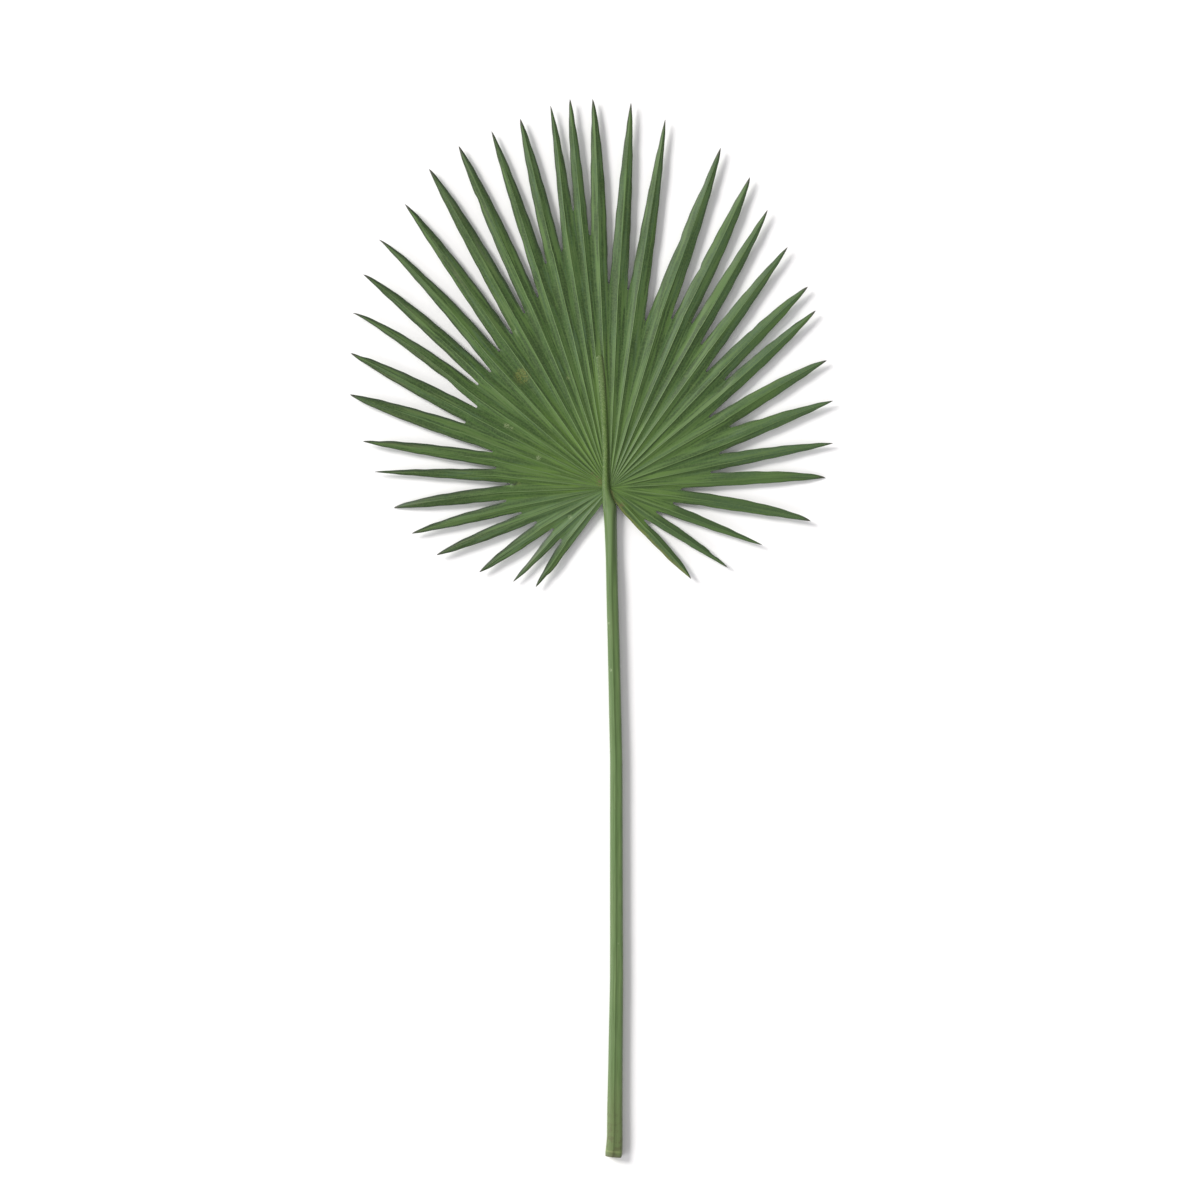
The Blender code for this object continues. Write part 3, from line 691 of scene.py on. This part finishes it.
def midrib_tree():
    """Geometry tree that runs a fine tapering cord along the crest of every fold."""
    sheet, given, result = new_tree("crest_midribs", {
        "Width": 0.0007, "Sunk share": 0.35, "Start": 12.0, "Sides": 6})
    reach = sheet.named("reach")
    chosen = sheet.compare("LESS_THAN", sheet.named("across"), 0.01)
    for test in (sheet.compare("GREATER_THAN", sheet.named("face_side"), 0.5),
                 sheet.compare("GREATER_THAN", reach, given["Start"])):
        chosen = sheet.two_way("FunctionNodeBooleanMath", {"operation": "AND"}, chosen, test)[0]
    lines = sheet.add("GeometryNodeMeshToCurve", None, Mesh=given["Geometry"], Selection=chosen)
    radius = sheet.times(sheet.spread(reach, given["Start"], 60.0, 0.35, 1.0),
                         sheet.spread(sheet.named("out"), 0.0, 0.4, 1.0, 0.3), given["Width"], 0.5)
    down = sheet.point(z=sheet.times(radius, given["Sunk share"], -1.0))
    sunk = sheet.add("GeometryNodeSetPosition", None, Geometry=lines.outputs[0], Offset=down)
    ring = sheet.add("GeometryNodeCurvePrimitiveCircle", None, Resolution=given["Sides"], Radius=1.0)
    tube = sheet.add("GeometryNodeCurveToMesh", None, Curve=sunk.outputs[0], Profile_Curve=ring.outputs[0],
                     Scale=radius, Fill_Caps=True)
    return sheet.dress(tube.outputs[0], given, result)


def smooth_section(table):
    """Closed section, read at even steps from a smooth curve through its points."""
    ring = np.array(table)
    count = len(ring)
    points = []
    for k in range(SECTION_POINTS):
        at = k * count / SECTION_POINTS
        i = int(at)
        t = at - i
        p0, p1, p2, p3 = (ring[(i + n) % count] for n in (-1, 0, 1, 2))
        points.append(0.5 * (2 * p1 + (p2 - p0) * t + (2 * p0 - 5 * p1 + 4 * p2 - p3) * t * t
                             + (3 * p1 - p0 - 3 * p2 + p3) * t ** 3))
    return np.clip(np.array(points), 0.0, 1.0)


def stalk_rows():
    """Stalk stations at nearly even steps, read from the given ones."""
    table = np.array(STALK)
    stations = []
    for low, high in zip(table[:-1, 0], table[1:, 0]):
        parts = max(2, int(round((high - low) / STALK_STEP)))
        stations += [low + (high - low) * k / parts for k in range(parts)]
    stations.append(table[-1, 0])
    y = np.array(stations)
    return np.stack([y] + [np.interp(y, table[:, 0], table[:, c]) for c in range(1, 5)], axis=1)


def stalk_pattern(hub):
    """Plain stalk and rib, with its section's measures as attributes."""
    ridged = smooth_section(SECTION)
    rounded = smooth_section(RIB_SECTION)
    rows = stalk_rows()
    around = SECTION_POINTS
    verts = []
    measures = {"across": [], "along": [], "cut": []}

    def place(spot, across, along, cut):
        """Add one point with its measures."""
        verts.append(tuple(spot))
        for name, value in (("across", across), ("along", along), ("cut", cut)):
            measures[name].append(value)

    for y, left, right, under, top in rows:
        slant = FOOT_SLANT * smooth((FOOT_FROM - y) / FOOT_LENGTH)
        centre = (left + right) / 2
        for across, up in ridged + (rounded - ridged) * smooth((y - ROUNDED_FROM) / ROUNDED_OVER):
            x = left + (right - left) * across
            place((x + hub[0], y + slant * (x - centre) + hub[1], under + (top - under) * up), across, y, 0.0)
    faces = []
    for k in range(len(rows) - 1):
        for j in range(around):
            a = k * around + j
            b = k * around + (j + 1) % around
            faces.append((a, a + around, b + around, b))
    for row, at_foot in ((0, True), (len(rows) - 1, False)):
        outline = np.array(verts[row * around:(row + 1) * around])
        centre = outline.mean(axis=0)
        outer = row * around
        for share in CAP_RINGS:
            inner = len(verts)
            for spot in outline:
                place(centre + (spot - centre) * share, 0.5, rows[row][0], 1.0 if at_foot else 0.0)
            for j in range(around):
                after = (j + 1) % around
                face = (outer + j, outer + after, inner + after, inner + j)
                faces.append(face if at_foot else face[::-1])
            outer = inner
        middle = tuple(range(outer, outer + around))
        faces.append(middle if at_foot else middle[::-1])
    mesh = bpy.data.meshes.new("stalk_pattern")
    mesh.from_pydata((np.array(verts) * MM).tolist(), [], faces)
    carry(mesh, measures)
    return mesh


def grain_tree():
    """Geometry tree that raises fine lengthwise ridges on the stalk."""
    sheet, given, result = new_tree("stalk_grain", {
        "Ridge height": 0.00012, "Ridges across": 900.0, "Ridges along": 18.0, "Seed": 7.0})
    place = sheet.add("GeometryNodeInputPosition").outputs[0]
    stretch = sheet.point(given["Ridges across"], given["Ridges along"], given["Ridges across"])
    spot = sheet.vector("ADD", sheet.vector("MULTIPLY", place, stretch), given["Seed"])
    wave = sheet.spread(sheet.noise(spot, 1.0), 0.3, 0.7, -1.0, 0.0, soft=False)
    inward = sheet.times(wave, given["Ridge height"], sheet.minus(1.0, sheet.named("cut")))
    offset = sheet.add("ShaderNodeVectorMath", {"operation": "SCALE"}, Scale=inward)
    sheet.feed(offset.inputs[0], sheet.add("GeometryNodeInputNormal").outputs[0])
    moved = sheet.add("GeometryNodeSetPosition", None, Geometry=given["Geometry"], Offset=offset.outputs[0])
    return sheet.dress(moved.outputs[0], given, result)


def fibre_tree():
    """Geometry tree that scatters the ends of cut fibres over the cut foot of the stalk."""
    sheet, given, result = new_tree("cut_fibres", {
        "Apart": 0.0009, "Radius": 0.00028, "Length": 0.00008, "Smallest": 0.6, "Largest": 1.2, "Seed": 7})
    spread = sheet.add("GeometryNodeDistributePointsOnFaces", {"distribute_method": "POISSON"},
                       Mesh=given["Geometry"], Distance_Min=given["Apart"], Density_Max=2000000.0,
                       Selection=sheet.compare("GREATER_THAN", sheet.named("cut"), 0.9), Seed=given["Seed"])
    end = sheet.add("GeometryNodeMeshCylinder", None, Vertices=8, Radius=given["Radius"],
                    Depth=given["Length"])
    size = sheet.add("FunctionNodeRandomValue", {"data_type": "FLOAT"}, Seed=given["Seed"])
    limits = [socket for socket in size.inputs if socket.type == "VALUE"]
    sheet.feed(limits[0], given["Smallest"])
    sheet.feed(limits[1], given["Largest"])
    chosen = [socket for socket in size.outputs if socket.type == "VALUE"][0]
    ends = sheet.add("GeometryNodeInstanceOnPoints", None, Points=spread.outputs["Points"],
                     Instance=end.outputs["Mesh"], Rotation=spread.outputs["Rotation"], Scale=chosen)
    return sheet.dress(ends.outputs[0], given, result)


def mottle_group():
    """Shader group: soft cloudy variation and fine specks, from a position."""
    name = "plant_mottle"
    if name in bpy.data.node_groups:
        return bpy.data.node_groups[name]
    sheet, given, result = new_tree(name, {
        "Position": "NodeSocketVector", "Cloud scale": 20.0, "Speck scale": 220.0,
    }, ("Clouds", "Specks", "Fine"), "ShaderNodeTree")
    place = given["Position"]
    clouds = sheet.noise(place, given["Cloud scale"], 3.0, 0.55)
    specks = sheet.noise(place, given["Speck scale"], 1.0, 0.4)
    sheet.feed(result["Clouds"], sheet.spread(clouds, 0.34, 0.66))
    sheet.feed(result["Specks"], sheet.spread(specks, 0.70, 0.80))
    sheet.feed(result["Fine"], sheet.noise(place, sheet.times(given["Speck scale"], 2.2), 3.0, 0.65))
    return sheet.tree


def streak_group():
    """Shader group: fine parallel lines across a strip, broken up along it, and wider bands."""
    name = "plant_streaks"
    if name in bpy.data.node_groups:
        return bpy.data.node_groups[name]
    sheet, given, result = new_tree(name, {
        "Across": 0.0, "Along": 0.0, "Lines across": 90.0, "Lines along": 3.0, "Strip": 0.0,
    }, ("Lines", "Bands"), "ShaderNodeTree")
    spot = sheet.point(sheet.times(given["Across"], given["Lines across"]),
                       sheet.times(given["Along"], given["Lines along"]), given["Strip"])
    sheet.feed(result["Lines"], sheet.noise(spot, 1.0, 2.0, 0.6))
    sheet.feed(result["Bands"], sheet.noise(sheet.vector("MULTIPLY", spot, (0.30, 0.5, 1.0)), 1.0))
    return sheet.tree


class Paint(NodeSheet):
    """The sheet of one material, with its shader and the colour laid so far."""

    def __init__(self, name, base):
        self.material = bpy.data.materials.new(name)
        self.material.use_nodes = True
        super().__init__(self.material.node_tree)
        self.shader = self.tree.nodes["Principled BSDF"].inputs
        self.position = self.add("ShaderNodeTexCoord").outputs["Object"]
        self.colour = tuple(base)

    def mottled(self, clouds, specks):
        """Place the mottle group at the given scales."""
        return self.add("ShaderNodeGroup", {"node_tree": mottle_group()}, Position=self.position,
                        Cloud_scale=clouds, Speck_scale=specks).outputs

    def streaked(self, across, along, lines_across, lines_along, strip=0.0):
        """Place the streak group and give back its lines and bands."""
        streaks = self.add("ShaderNodeGroup", {"node_tree": streak_group()}, Across=across, Along=along,
                           Lines_across=lines_across, Lines_along=lines_along, Strip=strip).outputs
        return streaks["Lines"], streaks["Bands"]

    def lay(self, shade, *masks):
        """Lay a shade over the colour, as far as the masks go together."""
        self.colour = self.mix(self.times(*masks), self.colour, tuple(shade))

    def lay_spots(self, hub, marks):
        """Lay soft broken marks: plan place in millimetres from the hub, radius, strength and shade."""
        flat = self.vector("MULTIPLY", self.position, (1.0, 1.0, 0.0))
        broken = self.noise(self.position, SPOT_NOISE, 1.0)
        for x, y, radius, strength, shade in marks:
            away = self.vector("DISTANCE", flat, ((x + hub[0]) * MM, (y + hub[1]) * MM, 0.0))
            self.lay(shade, self.spread(away, radius * MM, 0.3 * radius * MM),
                     self.spread(broken, 0.40, 0.60, 0.0, strength))

    def finish(self, rough, specular=0.5, height=None, bump=(0.0, 0.0)):
        """Feed the shader and give back the material; bump is its strength and depth."""
        self.feed(self.shader["Base Color"], self.colour)
        self.feed(self.shader["Roughness"], rough)
        self.feed(self.shader["Specular IOR Level"], specular)
        if height is not None:
            raised = self.add("ShaderNodeBump", None, Strength=bump[0], Distance=bump[1], Height=height)
            self.feed(self.shader["Normal"], raised.outputs[0])
        return self.material


def blade_material(settings, hub):
    """Leathery green with a soft sheen: yellower at the hub, cooler outwards, dry at the points."""
    paint = Paint("blade_surface", settings.leaf_green)
    across, out, reach, finger, right, gap, crease, face_side = [paint.named(name) for name in (
        "across", "out", "reach", "finger", "right", "rib_gap", "crease", "face_side")]
    mottle = paint.mottled(16.0, 260.0)
    fine = mottle["Fine"]
    uv = paint.add("ShaderNodeUVMap", {"uv_map": "finger_map"}).outputs[0]
    place = paint.add("ShaderNodeSeparateXYZ", None, Vector=uv).outputs
    lines, bands = paint.streaked(place["X"], place["Y"], 46.0, 7.0, paint.times(finger, 7.3))

    def cloud(scale_across, scale_along, step):
        """Noise that is stretched along the fingers and differs from one to the next."""
        return paint.noise(paint.point(paint.times(place["X"], scale_across),
                                       paint.times(place["Y"], scale_along), paint.times(finger, step)), 1.0)

    # Age of the leaf: older, greyer fingers on the left, fresher ones on the right; painted light and a
    # painted sheen on the fingers from the top round to the right
    older = paint.spread(finger, 20.0, 12.0, 0.15, 1.0)
    fresh = paint.times(paint.spread(finger, 20.0, 27.0), paint.spread(out, 0.0, 0.4))
    paint.lay(BLADE["outer"], paint.spread(out, 0.0, 0.85))
    paint.lay(settings.blue_green, paint.spread(cloud(34.0, 7.0, 3.1), 0.50, 0.68),
              paint.spread(reach, 50.0, 130.0, 0.15, 1.0))
    young = paint.times(paint.spread(reach, 150.0, 15.0), paint.spread(bands, 0.30, 0.62), 0.95)
    by_rib = paint.spread(gap, 26.0, 4.0, 0.0, 0.55)
    paint.lay(settings.young_green, paint.maths("MAXIMUM", young, by_rib))
    paint.lay(BLADE["grey"], paint.spread(out, 0.35, 0.90, 0.0, 0.6), older)
    # Painted light: the outer parts of the fingers from the top round to the right are lighter, as if more
    # light fell on them
    paint.lay(BLADE["painted_light_points"], paint.spread(finger, 16.0, 24.0), paint.spread(out, 0.45, 0.95, 0.0, 0.8))
    paint.lay(BLADE["lowest"], paint.spread(finger, 5.5, 1.5, 0.0, 0.8))
    paint.lay(BLADE["weathered"], paint.spread(cloud(22.0, 5.0, 5.7), 0.46, 0.62),
              paint.spread(out, 0.0, 0.7, 0.0, 0.85), older)
    # Painted sheen: a bluer tint on the fingers from the top round to the right stands in for the bluish
    # shine of their lit flanks
    paint.lay(BLADE["painted_cool_sheen"], paint.spread(finger, 13.0, 22.0, 0.0, 0.7),
              paint.spread(out, 0.0, 0.2, 0.4, 1.0))

    # Bands, fine lines and specks
    paint.lay(BLADE["band"], paint.spread(bands, 0.46, 0.66, 0.0, 0.7))
    paint.lay(BLADE["etched"], paint.spread(lines, 0.45, 0.58), paint.scaled(fresh, -0.7, 1.0),
              paint.spread(reach, 60.0, 150.0, 0.68, 1.0))
    paint.lay(BLADE["bright"], paint.spread(lines, 0.44, 0.34), paint.scaled(older, 0.4, 0.6))
    paint.lay(BLADE["fine"], paint.spread(fine, 0.40, 0.62, 0.0, 0.40))
    paint.lay(BLADE["speck"], mottle["Specks"], 0.30)

    # Painted highlights on the crests and painted shade on the right flanks close to the hub, where the folds
    # are too fine to shade themselves
    near = paint.times(paint.spread(reach, 65.0, 28.0), paint.spread(reach, 4.0, 30.0))
    paint.lay(BLADE["crest"], paint.spread(across, 0.26, 0.08, 0.0, 0.5), near)
    paint.lay(BLADE["flank"], paint.spread(across, 0.12, 0.28), paint.spread(across, 0.80, 0.50), right,
              near, 0.5)

    # Edges, painted shade along the right edges of the left-hand fingers, and painted shade on the sides of
    # the last fingers that face away from the light
    free = paint.spread(out, 0.02, 0.10)
    inside = paint.times(paint.minus(1.0, across), paint.named("half"))
    paint.lay(BLADE["rim"], paint.spread(inside, 1.5, 0.5), free, paint.scaled(fresh, -0.35, 0.75))
    # Painted shade on the right edges of the left-hand fingers, the side away from the light
    paint.lay(BLADE["painted_edge_shade"], right, paint.spread(finger, 21.0, 15.0), free,
              paint.spread(inside, 2.8, 1.0, 0.0, 0.65))
    # Painted shade on the sides of the last fingers that face away from the light
    paint.lay(BLADE["painted_side_shade"], paint.spread(finger, 31.5, 34.0), paint.spread(out, 0.0, 0.12),
              paint.scaled(right, -0.32, 0.50))
    # Painted shade in the creases that run on below the clefts
    paint.lay(BLADE["crease"], crease, 0.8)
    paint.lay(BLADE["yellowed"], paint.spread(finger, 35.4, 35.9), right, paint.spread(inside, 3.2, 0.8),
              paint.spread(fine, 0.38, 0.55, 0.2, 0.8))
    paint.lay(settings.tip_brown, paint.spread(paint.scaled(fine, 0.035, out), 0.945, 1.005, 0.0, 0.9))
    paint.lay_spots(hub, BLADE_SPOTS)
    paint.lay(BLADE["underside"], paint.spread(face_side, 0.2, -0.2))
    return paint.finish(paint.spread(fine, 0.2, 0.8, 0.44, 0.58, soft=False), 0.36,
                        paint.scaled(fine, 0.4, lines), (0.5, 0.00025))


def midrib_material(settings):
    """Paler green of the fine midribs, dry brown where they reach the points."""
    paint = Paint("midrib_surface", (0.094, 0.164, 0.045))
    mottle = paint.mottled(24.0, 300.0)
    paint.lay((0.122, 0.200, 0.064), mottle["Clouds"])
    paint.lay(settings.tip_brown, paint.spread(paint.named("out"), 0.90, 0.99, 0.0, 0.85))
    return paint.finish(paint.spread(mottle["Fine"], 0.2, 0.8, 0.38, 0.52))


def stalk_material(settings, hub):
    """Smooth satin green with faint lengthwise streaks, olive at the foot and fibrous on the cut."""
    paint = Paint("stalk_surface", settings.stalk_green)
    across, along, cut = [paint.named(name) for name in ("across", "along", "cut")]
    mottle = paint.mottled(18.0, 240.0)
    fine = mottle["Fine"]
    lines, bands = paint.streaked(across, along, 15.0, 0.035)
    paint.lay(STEM["cloud"], mottle["Clouds"])
    paint.lay(STEM["upper"], paint.spread(along, -280.0, -60.0, 0.0, 0.45))
    # Painted light: the stalk's right edge is lighter, standing in for light thrown back from the floor
    paint.lay(STEM["painted_bounce_light"], paint.spread(across, 0.78, 1.0, 0.0, 0.35))
    paint.lay(STEM["line"], paint.spread(lines, 0.42, 0.62, 0.0, 0.55))
    paint.lay(STEM["band"], paint.spread(bands, 0.50, 0.72, 0.0, 0.50))

    # The rib: greener, with painted shade along its left edge where it meets the blade, grainy, with a faint
    # brown line near its end
    rib = paint.spread(along, -20.0, 15.0)
    grains = paint.noise(paint.position, SPOT_NOISE, 2.0, 0.6)
    paint.lay(STEM["rib"], rib, 0.8)
    paint.lay(STEM["rib_end"], paint.spread(along, 78.0, 100.0, 0.0, 0.7))
    paint.lay(STEM["painted_rib_edge_shade"], paint.spread(across, 0.30, 0.06, 0.0, 0.7), rib)
    paint.lay(STEM["pale_grain"], paint.spread(grains, 0.52, 0.62, 0.0, 0.7), rib)
    paint.lay(STEM["dark_grain"], paint.spread(grains, 0.46, 0.36, 0.0, 0.6), rib)
    paint.lay(STEM["brown_line"], paint.spread(across, 0.80, 0.90),
              paint.spread(along, 85.0, 105.0, 0.0, 0.3))

    # Painted shade that darkens the stalk's left side, which faces the light, and its foot with smudges, a
    # pressed line and a dry rim
    painted_left_shade = paint.times(paint.spread(across, 0.42, 0.30), paint.minus(1.0, rib))
    paint.colour = paint.mix(painted_left_shade, paint.colour, paint.mix(1.0, paint.colour, (0.86, 0.86, 0.86), "MULTIPLY"))
    paint.lay(STEM["foot"], paint.spread(along, -560.0, -650.0), 0.6)
    paint.lay(STEM["smudge"], paint.spread(paint.noise(paint.position, 160.0, 3.0, 0.6), 0.48, 0.62),
              paint.spread(along, -600.0, -655.0, 0.0, 0.55))
    paint.lay(STEM["pressed"], paint.spread(along, -661.5, -663.0), paint.spread(along, -664.5, -663.2), 0.5)
    paint.lay(STEM["dry_rim"], paint.spread(along, -664.5, -668.0), 0.75)
    paint.lay_spots(hub, STEM_SPOTS)
    paint.colour = paint.mix(cut, paint.colour, paint.mix(fine, STEM["pith"], STEM["dark_pith"]))
    rough = paint.spread(fine, 0.2, 0.8, 0.36, 0.52, soft=False)
    for other in (paint.times(cut, 0.85), paint.times(rib, 0.56)):
        rough = paint.maths("MAXIMUM", rough, other)
    return paint.finish(rough, 0.38, paint.scaled(fine, 0.3, lines), (0.4, 0.00015))


def cut_fibre_material():
    """Pale brown ends of the fibres on the cut foot."""
    paint = Paint("fibre_end_surface", (0.200, 0.150, 0.070))
    paint.lay((0.330, 0.270, 0.140), paint.mottled(300.0, 900.0)["Clouds"])
    return paint.finish(0.8)


def floor_material(settings):
    """Plain pale floor."""
    paint = Paint("floor_surface", (settings.floor_white,) * 3)
    return paint.finish(0.9, 0.0)


def ride_root(pieces, node):
    """Let pieces ride on the leaf's one body, and hide the part of the frame that they stand in for."""
    for piece in pieces:
        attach(piece, "root")
    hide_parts(node)


class PALM_OT_blade(bpy.types.Operator):
    """Make the pleated blade and the midribs on its crests"""

    bl_idname = "palm.make_blade"
    bl_label = "Make blade"

    def execute(self, context):
        settings = context.scene.palm_leaf
        hub = hub_place()
        blade = shaped("blade", flat_pattern(hub), pleat_tree(), {
            "Material": blade_material(settings, hub), "Thickness": settings.blade_thick,
            "Fold slope": settings.ring_rise, "Finger slope": settings.free_rise,
            "Ripple height": settings.ripple, "Seed": float(settings.seed),
        })
        blade.data.shade_smooth()
        blade.data.set_sharp_from_angle(angle=math.radians(60.0))
        midribs = shaped("midribs", blade.data.copy(), midrib_tree(), {
            "Material": midrib_material(settings), "Width": settings.cord_width,
        })
        midribs.data.shade_smooth()
        ride_root((blade, midribs), "leaf_blade")
        return {"FINISHED"}


class PALM_OT_stalk(bpy.types.Operator):
    """Make the stalk with its rib, and the fibre ends on its cut foot"""

    bl_idname = "palm.make_stalk"
    bl_label = "Make stalk"

    def execute(self, context):
        settings = context.scene.palm_leaf
        hub = hub_place()
        stalk = shaped("stalk", stalk_pattern(hub), grain_tree(), {
            "Material": stalk_material(settings, hub), "Seed": float(settings.seed),
        })
        stalk.data.shade_smooth()
        stalk.data.set_sharp_from_angle(angle=math.radians(50.0))
        fibres = shaped("cut_fibres", stalk.data.copy(), fibre_tree(), {
            "Material": cut_fibre_material(), "Seed": settings.seed,
        })
        ride_root((stalk, fibres), "leaf_stalk")
        return {"FINISHED"}


class PALM_OT_stage(bpy.types.Operator):
    """Lay the floor and set the lights and the camera"""

    bl_idname = "palm.make_stage"
    bl_label = "Make stage"

    def execute(self, context):
        settings = context.scene.palm_leaf
        scene = context.scene
        mesh = bpy.data.meshes.new("floor")
        corners = [(-1, -1), (1, -1), (1, 1), (-1, 1)]
        mesh.from_pydata([(x * FLOOR_HALF, y * FLOOR_HALF, 0.0) for x, y in corners], [], [(0, 1, 2, 3)])
        mesh.materials.append(floor_material(settings))
        floor = bpy.data.objects.new("floor", mesh)
        floor.location = (0.0, 0.0, FLOOR_LEVEL)
        scene.collection.objects.link(floor)

        for name, bearing, height, spread, strength, colour in (
                ("key_light", -58.0, 36.0, 20.0, settings.sun_strength, (1.0, 0.985, 0.96)),
                ("side_light", -118.0, 18.0, 50.0, settings.side_strength, (0.97, 0.99, 1.0))):
            light = bpy.data.lights.new(name, "SUN")
            light.energy = strength
            light.angle = math.radians(spread)
            light.color = colour
            lamp = bpy.data.objects.new(name, light)
            lamp.rotation_euler = (math.radians(90.0 - height), 0.0, math.radians(180.0 - bearing))
            scene.collection.objects.link(lamp)

        world = bpy.data.worlds.new("soft_surroundings")
        world.use_nodes = True
        even = world.node_tree.nodes["Background"].inputs
        even["Color"].default_value = (1.0, 0.977, 1.004, 1.0)
        even["Strength"].default_value = settings.sky_strength
        scene.world = world
        scene.view_settings.view_transform = "Standard"

        camera = bpy.data.cameras.new("camera")
        camera.lens = 100.0
        camera.sensor_width = 36.0
        camera.clip_end = 20.0
        view = bpy.data.objects.new("camera", camera)
        view.location = (*VIEW_CENTRE, VIEW_LEVEL + VIEW_WIDTH * camera.lens / camera.sensor_width)
        scene.collection.objects.link(view)
        scene.camera = view
        return {"FINISHED"}


class PALM_PT_panel(bpy.types.Panel):
    """Sizes, colours and steps of the palm leaf"""

    bl_idname = "PALM_PT_panel"
    bl_label = "Palm leaf"
    bl_space_type = "VIEW_3D"
    bl_region_type = "UI"
    bl_category = "Palm leaf"

    def draw(self, context):
        settings = context.scene.palm_leaf
        for name in settings.__annotations__:
            self.layout.prop(settings, name)
        for operator in OPERATORS:
            self.layout.operator(operator.bl_idname)


OPERATORS = (PALM_OT_blade, PALM_OT_stalk, PALM_OT_stage)
CLASSES = (PalmLeafSettings,) + OPERATORS + (PALM_PT_panel,)


def register():
    """Register the classes and give the scene the leaf's settings."""
    for item in CLASSES:
        bpy.utils.register_class(item)
    bpy.types.Scene.palm_leaf = PointerProperty(type=PalmLeafSettings)


def unregister():
    """Take the settings and the classes away again."""
    del bpy.types.Scene.palm_leaf
    for item in reversed(CLASSES):
        bpy.utils.unregister_class(item)


def main():
    """Make the leaf and its stage."""
    register()
    bpy.ops.palm.make_blade()
    bpy.ops.palm.make_stalk()
    bpy.ops.palm.make_stage()


if __name__ == "__main__":
    main()
